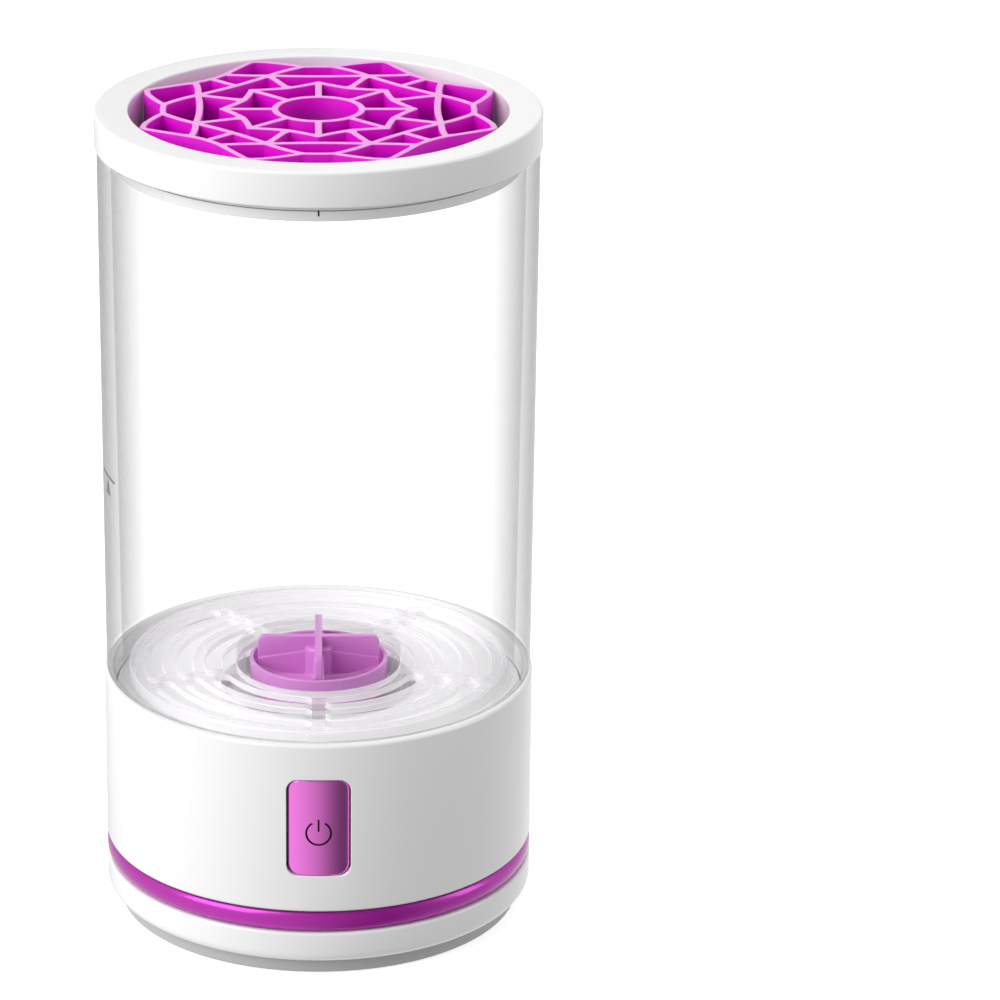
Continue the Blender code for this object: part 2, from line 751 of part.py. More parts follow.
def slot_outline(inner, outer, start, end):
    """An arc slot with rounded ends."""
    middle, half = (inner + outer) / 2, (outer - inner) / 2
    outline = arc(outer, start, end, 6)
    for degrees, first in ((end, 0), (start, 180)):
        centre = polar(middle, degrees)
        for i in range(1, 3):
            outline.append(centre + polar(half, degrees + first + 60 * i))
        if not first:
            outline += arc(inner, end, start, 6)
    return outline


def make_wash_plate():
    collar_in = COLLAR_R - COLLAR_WALL
    outlines = [arc(radius, 0, 360, ROUND)[:-1] for radius in (PLATE_R - 0.6, COLLAR_R - 0.7)]
    pitch = 360 / RIBS
    for inner, outer in SLOT_ROWS:
        middle = (inner + outer) / 2
        blank = math.degrees((RIB_W + outer - inner) / 2 / middle)
        for i in range(RIBS):
            start = -90 + pitch * i
            outlines.append(slot_outline(inner, outer, start + blank, start + pitch - blank))
    finish = (CLEAR, 0.08, 0.0, 1.0)
    plate = flat_solid("wash_plate", outlines, PLATE_TOP - PLATE_T, PLATE_TOP, finish)
    skirt_z = (TANK_FLOOR + GAP, PLATE_TOP + 0.5)
    join(plate, tube("plate_skirt", PLATE_R, PLATE_R - SKIRT_WALL, *skirt_z))
    join(plate, tube("plate_collar", COLLAR_R, collar_in, WELL_FLOOR + GAP, COLLAR_TOP))
    half = KEY_W / 2
    low, high = (-half, -PLATE_R - 1.1, PLATE_TOP - 1.4), (half, -PLATE_R + 0.6, PLATE_TOP + 0.2)
    join(plate, block("plate_tab", low, high))


def make_impeller():
    hub_in = HUB_R - HUB_WALL
    hub_roof = HUB_TOP - 0.8
    section = [
        (0, hub_roof),
        (hub_in, hub_roof),
        (hub_in, IMP_FLOOR[0]),
        (IMP_R - IMP_WALL, IMP_FLOOR[0]),
        (IMP_R - IMP_WALL, IMP_Z),
        (IMP_R, IMP_Z),
        (IMP_R, IMP_RIM),
        (IMP_R - IMP_WALL, IMP_RIM),
        (IMP_R - IMP_WALL, IMP_FLOOR[1]),
        (HUB_R, IMP_FLOOR[1]),
        (HUB_R, HUB_TOP, 0.5),
        (0, HUB_TOP),
    ]
    impeller = turned("impeller", section, (ORCHID, 0.3), 40)
    low = IMP_FLOOR[1] - 0.8
    corners = [(VANE_R, low), (VANE_R, VANE_TOP, VANE_CORNER)]
    corners += [(-VANE_R, VANE_TOP, VANE_CORNER), (-VANE_R, low)]
    low, side = IMP_FLOOR[1] - 0.6, IMP_RIM - 0.1
    web_corners = [(VANE_R, low), (VANE_R, side), (0, WEB_TOP), (-VANE_R, side), (-VANE_R, low)]
    web_corners = [Vector(corner) for corner in web_corners]
    for i in range(2):
        vane = standing(f"vane_{i}", rounded(corners, 3), -VANE_T / 2, VANE_T / 2)
        vane.data.transform(Matrix.Rotation(math.radians(90 * i), 4, "Z"))
        web = standing(f"web_{i}", web_corners, -WEB_T / 2, WEB_T / 2)
        web.data.transform(Matrix.Rotation(math.radians(90 * i), 4, "Z"))
        join(impeller, vane, web)
    cut(impeller, disc("cut_hub", hub_in, IMP_FLOOR[0] - 0.5, hub_roof, None, SMALL))
    for i, side in enumerate((-1, 1), 1):
        at = (side * IMP_MAGNET_X, 0)
        pocket = (IMP_MAGNET_R + GAP, IMP_FLOOR[0] - 1, IMP_MAGNET_Z[1] + GAP)
        cut(impeller, disc(f"cut_impeller_{i}", *pocket, None, SMALL, at))
        name = f"impeller_magnet_{i}"
        disc(name, IMP_MAGNET_R, *IMP_MAGNET_Z, (STEEL, 0.2, 1.0), SMALL, at)
    cap = (IMP_R - IMP_WALL - GAP, 1.5, IMP_Z, IMP_Z + 0.6)
    tube("impeller_cap", *cap, (ORCHID, 0.3), 40)
    bush = (hub_in - 0.25, PIN_R + 0.2, IMP_FLOOR[0] + 0.2, hub_roof - GAP)
    tube("impeller_bush", *bush, ((0.8, 0.8, 0.78), 0.4), SMALL)


# ---------------------------------------------------------------- lid and drying insert


def make_lid():
    section = [
        (LID_R, LID_TOP, 0.6),
        (LID_R, LID_Z, 0.4),
        (PLUG_R, LID_Z),
        (PLUG_R, SEAL_Z[1] + GAP),
        (SEAL_R - GAP, SEAL_Z[1] + GAP),
        (SEAL_R - GAP, SEAL_Z[0] - GAP),
        (PLUG_R, SEAL_Z[0] - GAP),
        (PLUG_R, PLUG_Z, 0.3),
        (LEDGE_R, PLUG_Z),
        (LEDGE_R, LEDGE_TOP),
        (LID_MOUTH_R, LEDGE_TOP),
        (LID_MOUTH_R, LID_TOP, 0.4),
    ]
    turned("lid_ring", section, (WHITE, 0.25))
    tube("lid_seal", PLUG_R + 0.3, SEAL_R, *SEAL_Z, ((0.85, 0.85, 0.85), 0.6))


def bow(start, end, rise, spacing):
    """Points along a shallow arc from start to end that rises to the right of its chord."""
    chord = end - start
    side = Vector((chord.y, -chord.x)).normalized()
    steps = 2 * max(1, round(chord.length / spacing / 2))
    line = []
    for i in range(steps + 1):
        t = i / steps
        line.append(start + chord * t + side * rise * 4 * t * (1 - t))
    return line


def shifted(line, distance):
    """The line moved to its left by a distance, and lengthened at both ends so that neighbours cross."""
    moved = []
    for i, point in enumerate(line):
        before = (point - line[i - 1]).normalized() if i else None
        after = (line[i + 1] - point).normalized() if i + 1 < len(line) else None
        before, after = before or after, after or before
        left = Vector((-before.y - after.y, before.x + after.x))
        moved.append(point + left * distance / (1 + before.dot(after)))
    reach = 3.0
    first = moved[0] + (moved[0] - moved[1]).normalized() * reach
    last = moved[-1] + (moved[-1] - moved[-2]).normalized() * reach
    return [first, *moved, last]


def crossing(line, other, corner):
    """Where two lines cross nearest to a corner: (index in line, index in other, point)."""
    found = []
    for i, (a, b) in enumerate(zip(line, line[1:])):
        for j, (c, d) in enumerate(zip(other, other[1:])):
            run, cross = b - a, d - c
            scale = run.x * cross.y - run.y * cross.x
            if abs(scale) < 1e-9:
                continue
            t = ((c.x - a.x) * cross.y - (c.y - a.y) * cross.x) / scale
            u = ((c.x - a.x) * run.y - (c.y - a.y) * run.x) / scale
            if 0 <= t <= 1 and 0 <= u <= 1:
                point = a + run * t
                found.append(((point - corner).length, i, j, point))
    return min(found)[1:]


def inset(walls, distance):
    """The closed outline of walls that meet end to end, anticlockwise, moved inwards by a distance."""
    lines = [shifted(wall, distance) for wall in walls]
    count = len(lines)
    meets = [crossing(lines[i - 1], lines[i], walls[i][0]) for i in range(count)]
    outline = []
    for i in range(count):
        following = meets[(i + 1) % count]
        outline.append(meets[i][2])
        outline += lines[i][meets[i][1] + 1 : following[0] + 1]
    return outline


def turned_walls(walls, degrees):
    turn = Matrix.Rotation(math.radians(degrees), 2)
    return [[turn @ point for point in wall] for wall in walls]


def mirrored_walls(walls, degrees):
    """The walls mirrored in the line at an angle, in the order that keeps them anticlockwise."""
    twice = math.radians(2 * degrees)
    mirror = Matrix(((math.cos(twice), math.sin(twice)), (math.sin(twice), -math.cos(twice))))
    return [[mirror @ point for point in reversed(wall)] for wall in reversed(walls)]


def insert_outlines(spacing):
    """The insert's edge and its 37 cells: a hub, a wavy star, a ring of chords, and eight petals."""
    half = INSERT_WALL / 2
    hub_r, tip_r, valley_r, node_r = 9.2, 20.2, 17.2, 27.8
    tip, next_tip = polar(tip_r, 0), polar(tip_r, 45)
    valley, last_valley = polar(valley_r, 22.5), polar(valley_r, -22.5)
    node, last_node = polar(node_r, 22.5), polar(node_r, -22.5)
    hub_steps = max(2, round(7 / spacing))
    cells = [[arc(hub_r, 0, 360, 8 * hub_steps)[:-1]]]
    hub_arc = arc(hub_r, 45, 0, hub_steps)
    star = [hub_arc, [polar(hub_r, 0), tip], bow(tip, valley, -0.15, spacing)]
    star += [bow(valley, next_tip, -0.15, spacing), [next_tip, polar(hub_r, 45)]]
    chord = bow(node, last_node, 0.6, spacing)
    middle = [[last_valley, last_node], chord[::-1], [node, valley]]
    middle += [bow(tip, valley, -0.15, spacing)[::-1], bow(last_valley, tip, -0.15, spacing)[::-1]]
    for i in range(8):
        cells += [turned_walls(star, 45 * i), turned_walls(middle, 45 * i)]

    join_low, join_high = Vector((32.75, -3.3)), Vector((32.75, 3.3))
    low_wall = bow(last_node, join_low, 0.4, spacing)
    bridge = bow(join_low, join_high, 0.15, spacing)
    high_wall = bow(join_high, node, 0.4, spacing)
    lens = [low_wall, bridge, high_wall, chord]
    saddle, shoulder = polar(32.7, 45), polar(33.4, 37.6)
    corner = polar(39.95, 21.2)
    side = bow(join_high, corner, 0.5, spacing)
    crest = rounded([(*join_high,), (*corner, 2.0), (*shoulder,)], max(2, round(4 / spacing)))[1:-1]
    reach = (crest[0] - corner).length
    edge = [place for place in side if (place - corner).length > reach + 0.5] + crest + [shoulder]
    inner = bow(shoulder, node, 0.3, spacing)
    petal = [edge, inner, high_wall[::-1]]
    next_chord = turned_walls([chord], 45)[0]
    half_way = len(next_chord) // 2
    mid = next_chord[half_way]
    dip = bow(shoulder, saddle, -0.1, spacing)
    small = [inner[::-1], dip, [saddle, mid], next_chord[half_way:]]
    rim = []
    for i in range(4):
        cells.append(turned_walls(lens, 90 * i))
        for walls in (petal, small):
            cells.append(turned_walls(walls, 90 * i))
            cells.append(turned_walls(mirrored_walls(walls, 45), 90 * i))
        flank = [edge, dip]
        rim += turned_walls([bridge, *flank, *mirrored_walls(flank, 45)], 90 * i)
    outlines = [inset(rim, -half)]
    hub = cells.pop(0)[0]
    outlines.append([point * ((hub_r - half) / hub_r) for point in hub])
    outlines += [inset(walls, half) for walls in cells]
    return outlines


def make_drying_insert():
    finish = ((0.7, 0.02, 0.62), 0.35)
    flat_solid("drying_insert", insert_outlines(4.4), INSERT_Z0, INSERT_Z1, finish)


# ---------------------------------------------------------------- assembly


def main():
    make_lower_shell()
    make_foot_ring()
    make_trim_ring()
    make_upper_shell()
    make_deck()
    make_well_cup()
    make_case_screws()
    make_power_button()
    make_button_pad()
    make_switch()
    make_control_board()
    make_charge_port()
    make_battery()
    make_leads()
    make_motor()
    make_motor_sleeve()
    make_motor_bracket()
    make_drive_rotor()
    make_tank()
    make_spindle_pin()
    make_wash_plate()
    make_impeller()
    make_lid()
    make_drying_insert()
    for item in PARTS.objects:
        if item.type == "MESH":
            shade(item)


main()
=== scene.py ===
"""The looks of the cordless brush cleaner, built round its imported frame.

Sizes are in millimetres and MM turns them into metres. The front is -Y, and every outer size comes from the frame.
"""

import math

import bmesh
import bpy
from mathutils import Matrix, Vector


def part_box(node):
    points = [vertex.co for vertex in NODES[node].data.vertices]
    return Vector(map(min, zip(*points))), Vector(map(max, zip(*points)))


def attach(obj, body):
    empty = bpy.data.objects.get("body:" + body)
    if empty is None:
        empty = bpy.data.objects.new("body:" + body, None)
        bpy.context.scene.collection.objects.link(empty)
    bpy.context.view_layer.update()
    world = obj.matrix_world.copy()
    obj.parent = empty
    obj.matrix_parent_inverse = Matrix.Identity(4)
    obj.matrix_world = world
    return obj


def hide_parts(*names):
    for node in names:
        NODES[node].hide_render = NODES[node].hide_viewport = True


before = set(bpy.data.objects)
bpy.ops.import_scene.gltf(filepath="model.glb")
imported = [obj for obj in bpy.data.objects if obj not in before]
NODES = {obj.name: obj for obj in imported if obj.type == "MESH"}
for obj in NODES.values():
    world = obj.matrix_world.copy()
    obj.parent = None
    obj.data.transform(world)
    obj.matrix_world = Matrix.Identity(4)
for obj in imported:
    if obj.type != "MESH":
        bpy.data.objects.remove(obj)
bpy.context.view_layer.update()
MM = 0.001
FINE = 200  # sides of the large turned pieces
SHARP = 32  # degrees between faces from which an edge isn't smoothed
GRAIN_SCALE = 2500  # grains of moulded plastic per metre

# The photo's camera: a long lens a metre away, looking 20.5 degrees down
CAMERA_LENS = 184.8
CAMERA_SENSOR = 36.0
CAMERA_SHIFT = 0.1814
CAMERA_AT = (0, -1.043, 0.483)
CAMERA_TILT = 69.46
LIGHTS_AIM = (0, 0, 0.09)
FLOOR_SIZE = 6.0
FLOOR_DROP = 0.0002
# The room's brightness by direction, in degrees from the front towards the right
WALL_LEVELS = (
    (-180, 0.6),
    (-110, 0.75),
    (-65, 1.0),
    (-30, 0.85),
    (0, 0.55),
    (26, 0.10),
    (44, 0.12),
    (75, 0.6),
    (120, 0.75),
    (180, 0.65),
)
ROOM_STRENGTH = 1.02  # at the height of the eye
ROOM_FADE = -0.12  # from there to straight above


def high(node):
    """The highest corner of a CAD node, in millimetres."""
    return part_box(node)[1] / MM


def low(node):
    """The lowest corner of a CAD node, in millimetres."""
    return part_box(node)[0] / MM


# Base
BODY_R = high("upper_shell").x
SHELL_TOP = high("upper_shell").z
SHELL_Z = low("lower_shell").z + 12.3
SHELL_IN_R = BODY_R - 2.2
RIM_WALL = 1.75
DECK_Z = 49.6
DECK_LEDGE_R = 43.3
DECK_LEDGE_Z = (45.3, 47.1)
BUTTON_ROOM = ((-9, -44.3, 44), (9, -40, 47.3))  # cut from the ledge, behind the button
DECK_JOINT_R = 23.0
DECK_JOINT_Z = (47.05, 47.45)
WELL_R = 21.4
PAN_Z = low("lower_shell").z
PAN_TOP = 10.6
PAN_FLOOR = PAN_Z + 1.8
TONGUE_R = SHELL_IN_R - 0.3
TONGUE_WALL = 1.3
TONGUE_TOP = 19.0
SCREW_XY = 24.0
SCREW_HOLE_R = 2.6
TRIM_CROWN = 1.3
TRIM_Z = (low("trim_ring").z, high("trim_ring").z)
FOOT_R = high("foot_ring").x
FOOT_H = high("foot_ring").z
FOOT_IN_R = 38.0

# Tank
TANK_TOP_R = high("tank").x
TANK_TOP = high("tank").z
TANK_LOW_R = 46.45
TANK_SHOULDER = SHELL_TOP + 0.3
TANK_FOOT_R = 44.75
TANK_FOOT_Z = DECK_Z + 0.3
TANK_FLOOR = TANK_FOOT_Z + 2.1
TANK_WELL_R = WELL_R - 0.4
TANK_WELL_Z = low("tank").z
WELL_FLOOR = TANK_WELL_Z + 1.8
TANK_IN_R = (43.0, 44.1)
TANK_FOOT_W = 2.5
TANK_FOOT_H = 0.3
WELL_WALL = 1.8
PIN_HOLE_R = 1.25
PIN_BOSS_R = 2.4
PIN_BOSS_H = 0.7
KEY_W = 4.4
KEY_REACH = 0.95
KEY_Z = (TANK_FOOT_Z + 1.4, TANK_SHOULDER + 0.6)
KEYWAY_Y = (-46.0, -44.0)
KEYWAY_Z = (TANK_FOOT_Z + 1.1, SHELL_TOP + 1)
LEVEL_Z = 102.0
LEVEL_AZIMUTH = -75.0

# Lid and insert
LID_R = high("lid_ring").x
LID_TOP = high("lid_ring").z
LID_Z = 173.0
LID_MOUTH_R = 40.2
PLUG_R = 43.5
PLUG_Z = low("lid_ring").z
LEDGE_R = 37.6
LEDGE_TOP = 171.8
GROOVE_DEPTH = 0.9
GROOVE_Z = (171.2, 172.4)
SEAL_Z = (171.5, 172.1)
TICK_W = 0.32
TICK_Z = (170.2, 171.7)
INSERT_Z = (low("drying_insert").z, high("drying_insert").z)
INSERT_WALL = 1.2
INSERT_CELL_WALL = 1.45
INSERT_SPACING = 0.8
INSERT_EDGE = 0.22

# Wash plate and impeller
PLATE_R = 41.5
PLATE_TOP = 54.8
PLATE_T = 1.6
SKIRT_WALL = 1.3
SKIRT_TOP = PLATE_TOP + 0.5
PLATE_EDGE = 0.3
TAB_Y = (-42.6, -40.9)
TAB_Z = (PLATE_TOP - 1.4, PLATE_TOP + 0.2)
COLLAR = (16.6, 18.0)
COLLAR_TOP = high("wash_plate").z
RIBS = 5
RIB_W = 3.0
SLOT_ROWS = ((34.3, 37.9), (27.8, 31.2), (21.3, 24.9))
IMP_R = high("impeller").x
IMP_Z = low("impeller").z
IMP_TOP = high("impeller").z
IMP_RIM = 55.9
IMP_FLOOR = (49.9, 52.2)
IMP_WALL = 0.9
HUB_R = 3.2
HUB_WALL = 0.95
HUB_Z = (57.6, 58.4)
VANE_R = 13.3
VANE_T = 1.6
VANE_EDGE = 0.22
WEB_T = 2.5
WEB_TOP = 57.8

# Button and charging inlet
BUTTON_W = 13.5
BUTTON_H = 22.0
BUTTON_Z = 35.2
BUTTON_CORNER = 2.4
BUTTON_BULGE = 0.75
BUTTON_EDGE = 0.45
BUTTON_BACK = 43.9
BUTTON_FACE = 44.5  # the face is further out than this
BUTTON_GAP = 0.13
BUTTON_FLARE = 0.5
SYMBOL_Z = 34.1
SYMBOL_R = (2.45, 2.85)
SYMBOL_BAR_W = 0.4
SYMBOL_BAR_Z = (34.5, 37.3)
PORT_W = 9.8
PORT_H = 4.0
PORT_CORNER = 1.9
PORT_Z = 26.0


# ---------------------------------------------------------------- camera, lights and floor


def add_camera():
    """The photo's camera, shifted so that the object stands left of the frame's centre."""
    data = bpy.data.cameras.new("camera")
    data.lens = CAMERA_LENS
    data.sensor_width = CAMERA_SENSOR
    data.shift_x = CAMERA_SHIFT
    camera = bpy.data.objects.new("camera", data)
    camera.location = CAMERA_AT
    camera.rotation_euler = (math.radians(CAMERA_TILT), 0, 0)
    bpy.context.scene.collection.objects.link(camera)
    bpy.context.scene.camera = camera


def add_area_light(name, location, size, watts):
    """A white panel of (width, height) in metres, turned to the middle of the object."""
    data = bpy.data.lights.new(name, "AREA")
    data.shape = "RECTANGLE"
    data.size, data.size_y = size
    data.energy = watts
    light = bpy.data.objects.new(name, data)
    light.location = location
    light.rotation_euler = (Vector(LIGHTS_AIM) - light.location).to_track_quat("-Z", "Y").to_euler()
    bpy.context.scene.collection.objects.link(light)


def add_room():
    """A pale room that is brightest to the front left, dimmest to the front right and a little darker above."""
    world = bpy.data.worlds.new("studio")
    bpy.context.scene.world = world
    world.use_nodes = True
    nodes, links = world.node_tree.nodes, world.node_tree.links
    place = nodes.new("ShaderNodeTexCoord")
    split = nodes.new("ShaderNodeSeparateXYZ")
    links.new(place.outputs["Generated"], split.inputs[0])
    front = nodes.new("ShaderNodeMath")
    front.operation = "MULTIPLY"
    front.inputs[1].default_value = -1
    links.new(split.outputs["Y"], front.inputs[0])
    azimuth = nodes.new("ShaderNodeMath")
    azimuth.operation = "ARCTAN2"
    links.new(split.outputs["X"], azimuth.inputs[0])
    links.new(front.outputs[0], azimuth.inputs[1])
    share = nodes.new("ShaderNodeMapRange")
    share.inputs["From Min"].default_value = -math.pi
    share.inputs["From Max"].default_value = math.pi
    links.new(azimuth.outputs[0], share.inputs["Value"])
    walls = nodes.new("ShaderNodeValToRGB")
    walls.color_ramp.interpolation = "B_SPLINE"
    stops = walls.color_ramp.elements
    for degrees, level in WALL_LEVELS:
        stop = stops.new((degrees + 180) / 360)
        stop.color = (level, level, level, 1)
    stops.remove(stops[0])
    stops.remove(stops[-1])
    links.new(share.outputs["Result"], walls.inputs["Fac"])
    height = nodes.new("ShaderNodeMath")
    height.operation = "MULTIPLY_ADD"
    height.inputs[1].default_value = ROOM_FADE
    height.inputs[2].default_value = ROOM_STRENGTH
    links.new(split.outputs["Z"], height.inputs[0])
    links.new(walls.outputs["Color"], nodes["Background"].inputs["Color"])
    links.new(height.outputs[0], nodes["Background"].inputs["Strength"])


def add_lights():
    add_area_light("key", (-1.1, -0.75, 1.05), (1.2, 1.4), 17.0)
    add_area_light("fill", (1.35, -0.1, 0.6), (0.5, 1.0), 3.4)
    add_area_light("top", (0, 0.1, 1.6), (0.8, 0.8), 1.5)


def add_floor():
    """A white floor just under the foot, seen by the camera but not in reflections."""
    shape = bmesh.new()
    bmesh.ops.create_grid(shape, x_segments=2, y_segments=2, size=FLOOR_SIZE)
    mesh = bpy.data.meshes.new("floor")
    shape.to_mesh(mesh)
    shape.free()
    floor = bpy.data.objects.new("floor", mesh)
    floor.location.z = -FLOOR_DROP
    bpy.context.scene.collection.objects.link(floor)
    material, shader, _ = new_material("floor")
    shader.inputs["Base Color"].default_value = (0.9, 0.9, 0.9, 1)
    shader.inputs["Roughness"].default_value = 0.7
    shader.inputs["Emission Color"].default_value = (1, 1, 1, 1)
    shader.inputs["Emission Strength"].default_value = 0.55
    mesh.materials.append(material)
    floor.visible_diffuse = False
    floor.visible_glossy = False


# ---------------------------------------------------------------- materials


def new_material(name):
    material = bpy.data.materials.new(name)
    material.use_nodes = True
    return material, material.node_tree.nodes["Principled BSDF"], material.node_tree


def noise(tree, scale, detail=3.0, stretch=(1, 1, 1)):
    """Noise in the object's own space, in features per metre."""
    place = tree.nodes.new("ShaderNodeTexCoord")
    mapping = tree.nodes.new("ShaderNodeMapping")
    mapping.inputs["Scale"].default_value = stretch
    texture = tree.nodes.new("ShaderNodeTexNoise")
    texture.inputs["Scale"].default_value = scale
    texture.inputs["Detail"].default_value = detail
    tree.links.new(place.outputs["Object"], mapping.inputs["Vector"])
    tree.links.new(mapping.outputs["Vector"], texture.inputs["Vector"])
    return texture.outputs["Fac"]


def ranged(tree, value, low_end, high_end, source=(0.3, 0.7)):
    """The value carried from the source range to another, and held at its ends."""
    node = tree.nodes.new("ShaderNodeMapRange")
    node.inputs["From Min"].default_value, node.inputs["From Max"].default_value = source
    node.inputs["To Min"].default_value, node.inputs["To Max"].default_value = low_end, high_end
    tree.links.new(value, node.inputs["Value"])
    return node.outputs["Result"]


def mixed(tree, factor, first, second):
    """A colour between two, each given as a colour or as a socket."""
    node = tree.nodes.new("ShaderNodeMix")
    node.data_type = "RGBA"
    tree.links.new(factor, node.inputs["Factor"])
    for name, colour in (("A", first), ("B", second)):
        socket = next(s for s in node.inputs if s.name == name and s.type == "RGBA")
        if isinstance(colour, tuple):
            socket.default_value = (*colour, 1)
        else:
            tree.links.new(colour, socket)
    return next(s for s in node.outputs if s.type == "RGBA")


def add_grain(tree, shader, scale, strength, depth=0.00005, stretch=(1, 1, 1)):
    """A fine bump over the surface, in grains per metre."""
    bump = tree.nodes.new("ShaderNodeBump")
    bump.inputs["Strength"].default_value = strength
    bump.inputs["Distance"].default_value = depth
    tree.links.new(noise(tree, scale, 2.0, stretch), bump.inputs["Height"])
    tree.links.new(bump.outputs["Normal"], shader.inputs["Normal"])


def moulded(
    name,
    colour,
    roughness,
    coat=0.0,
    grain=0.0,
    tint=0.02,
    metallic=0.0,
    coat_ior=1.5,
    specular=0.5,
):
    """Moulded plastic or rubber: slight changes of colour and gloss, with a fine grain where it isn't polished."""
    material, shader, tree = new_material(name)
    cloud = noise(tree, 45)
    darker = tuple(channel * (1 - tint) for channel in colour)
    tree.links.new(mixed(tree, cloud, darker, colour), shader.inputs["Base Color"])
    smear = noise(tree, 120, 4)
    tree.links.new(ranged(tree, smear, roughness * 0.85, roughness * 1.15), shader.inputs["Roughness"])
    shader.inputs["Coat Weight"].default_value = coat
    shader.inputs["Coat Roughness"].default_value = 0.04
    shader.inputs["Coat IOR"].default_value = coat_ior
    shader.inputs["Metallic"].default_value = metallic
    shader.inputs["Specular IOR Level"].default_value = specular
    if grain:
        add_grain(tree, shader, GRAIN_SCALE, grain)
    return material


def clear(name, colour, roughness, faint, strong, start, power=2.0, tint=None):
    """Clear moulded plastic: faint where it is seen square on, and strong where it turns away.

    The change begins at the facing value start and follows a power. The colour is mottled where a tint is given.
    """
    material, shader, tree = new_material(name)
    shader.inputs["Base Color"].default_value = (*colour, 1)
    if tint:
        cloud = noise(tree, 40, 2)
        tree.links.new(mixed(tree, cloud, tint, colour), shader.inputs["Base Color"])
    smear = noise(tree, 25, 1)
    tree.links.new(ranged(tree, smear, roughness * 0.9, roughness * 1.1), shader.inputs["Roughness"])
    facing = tree.nodes.new("ShaderNodeLayerWeight")
    facing.inputs["Blend"].default_value = 0.5
    turned = ranged(tree, facing.outputs["Facing"], 0.0, 1.0, (start, 1.0))
    curve = tree.nodes.new("ShaderNodeMath")
    curve.operation = "POWER"
    curve.inputs[1].default_value = power
    tree.links.new(turned, curve.inputs[0])
    tree.links.new(ranged(tree, curve.outputs[0], faint, strong, (0.0, 1.0)), shader.inputs["Alpha"])
    return material


def metal(name, colour, roughness, stretch=(1, 1, 1)):
    """Metal with fine marks along or round it."""
    material, shader, tree = new_material(name)
    marks = noise(tree, 1500, 4, stretch)
    darker = tuple(channel * 0.85 for channel in colour)
    tree.links.new(mixed(tree, marks, darker, colour), shader.inputs["Base Color"])
    tree.links.new(ranged(tree, marks, roughness * 0.7, roughness * 1.3), shader.inputs["Roughness"])
    shader.inputs["Metallic"].default_value = 1.0
    add_grain(tree, shader, 1500, 0.05, 0.00002, stretch)
    return material


def printed_board(name):
    """Solder resist over a grid of tracks, with paler pads."""
    material, shader, tree = new_material(name)
    place = tree.nodes.new("ShaderNodeTexCoord")
    tracks = tree.nodes.new("ShaderNodeTexBrick")
    tracks.inputs["Scale"].default_value = 260
    tracks.inputs["Color1"].default_value = (0.01, 0.16, 0.06, 1)
    tracks.inputs["Color2"].default_value = (0.01, 0.19, 0.08, 1)
    tracks.inputs["Mortar"].default_value = (0.03, 0.30, 0.12, 1)
    tracks.inputs["Mortar Size"].default_value = 0.03
    tree.links.new(place.outputs["Object"], tracks.inputs["Vector"])
    tree.links.new(tracks.outputs["Color"], shader.inputs["Base Color"])
    shader.inputs["Roughness"].default_value = 0.35
    return material


def silicone(name, body, painted_shade, edge):
    """Soft insert with painted light: a painted highlight on faces that turn upwards, and painted shade that
    darkens its colour down inside the cells.
    """
    material, shader, tree = new_material(name)
    place = tree.nodes.new("ShaderNodeTexCoord")
    split = tree.nodes.new("ShaderNodeSeparateXYZ")
    tree.links.new(place.outputs["Object"], split.inputs[0])
    # painted shade: the colour runs from the dark colour at the insert's foot to the body colour near its top
    depth = ranged(tree, split.outputs["Z"], 0.0, 1.0, (INSERT_Z[0] * MM, (INSERT_Z[1] - 1) * MM))
    wall = mixed(tree, depth, painted_shade, body)
    geometry = tree.nodes.new("ShaderNodeNewGeometry")
    facing = tree.nodes.new("ShaderNodeSeparateXYZ")
    tree.links.new(geometry.outputs["Normal"], facing.inputs[0])
    # painted highlight: faces that turn upwards are mixed towards the pale colour
    top = ranged(tree, facing.outputs["Z"], 0.0, 1.0, (0.35, 0.85))
    tree.links.new(mixed(tree, top, wall, edge), shader.inputs["Base Color"])
    shader.inputs["Roughness"].default_value = 0.38
    shader.inputs["Specular IOR Level"].default_value = 0.3
    shader.inputs["Subsurface Weight"].default_value = 0.15
    shader.inputs["Subsurface Radius"].default_value = (1.0, 0.3, 0.9)
    shader.inputs["Subsurface Scale"].default_value = 0.001
    add_grain(tree, shader, 1800, 0.05)
    return material


# ---------------------------------------------------------------- shapes


def fillet(before, corner, after, radius, steps):
    """Points of the arc of this radius that rounds a corner of an outline."""
    to_before = (before - corner).normalized()
    to_after = (after - corner).normalized()
    half = to_before.angle(to_after) / 2
    reach = radius / math.tan(half)
    centre = corner + (to_before + to_after).normalized() * radius / math.sin(half)
    first = corner + to_before * reach - centre
    turn = first.angle_signed(corner + to_after * reach - centre)
    return [centre + Matrix.Rotation(-turn * i / steps, 2) @ first for i in range(steps + 1)]


def rounded(points, steps=6):
    """The outline with each corner given as (x, y, radius) rounded."""
    flat = [Vector(point[:2]) for point in points]
    outline = []
    for i, point in enumerate(points):
        radius = point[2] if len(point) > 2 else 0
        if radius:
            outline += fillet(flat[i - 1], flat[i], flat[(i + 1) % len(flat)], radius, steps)
        else:
            outline.append(flat[i])
    return outline


def add_mesh(name, shape, material=None, sharp=SHARP):
    """Turns a bmesh into a smooth-shaded object in the scene."""
    mesh = bpy.data.meshes.new(name)
    shape.to_mesh(mesh)
    shape.free()
    mesh.shade_smooth()
    mesh.set_sharp_from_angle(angle=math.radians(sharp))
    item = bpy.data.objects.new(name, mesh)
    bpy.context.scene.collection.objects.link(item)
    if material:
        mesh.materials.append(material)
    return item


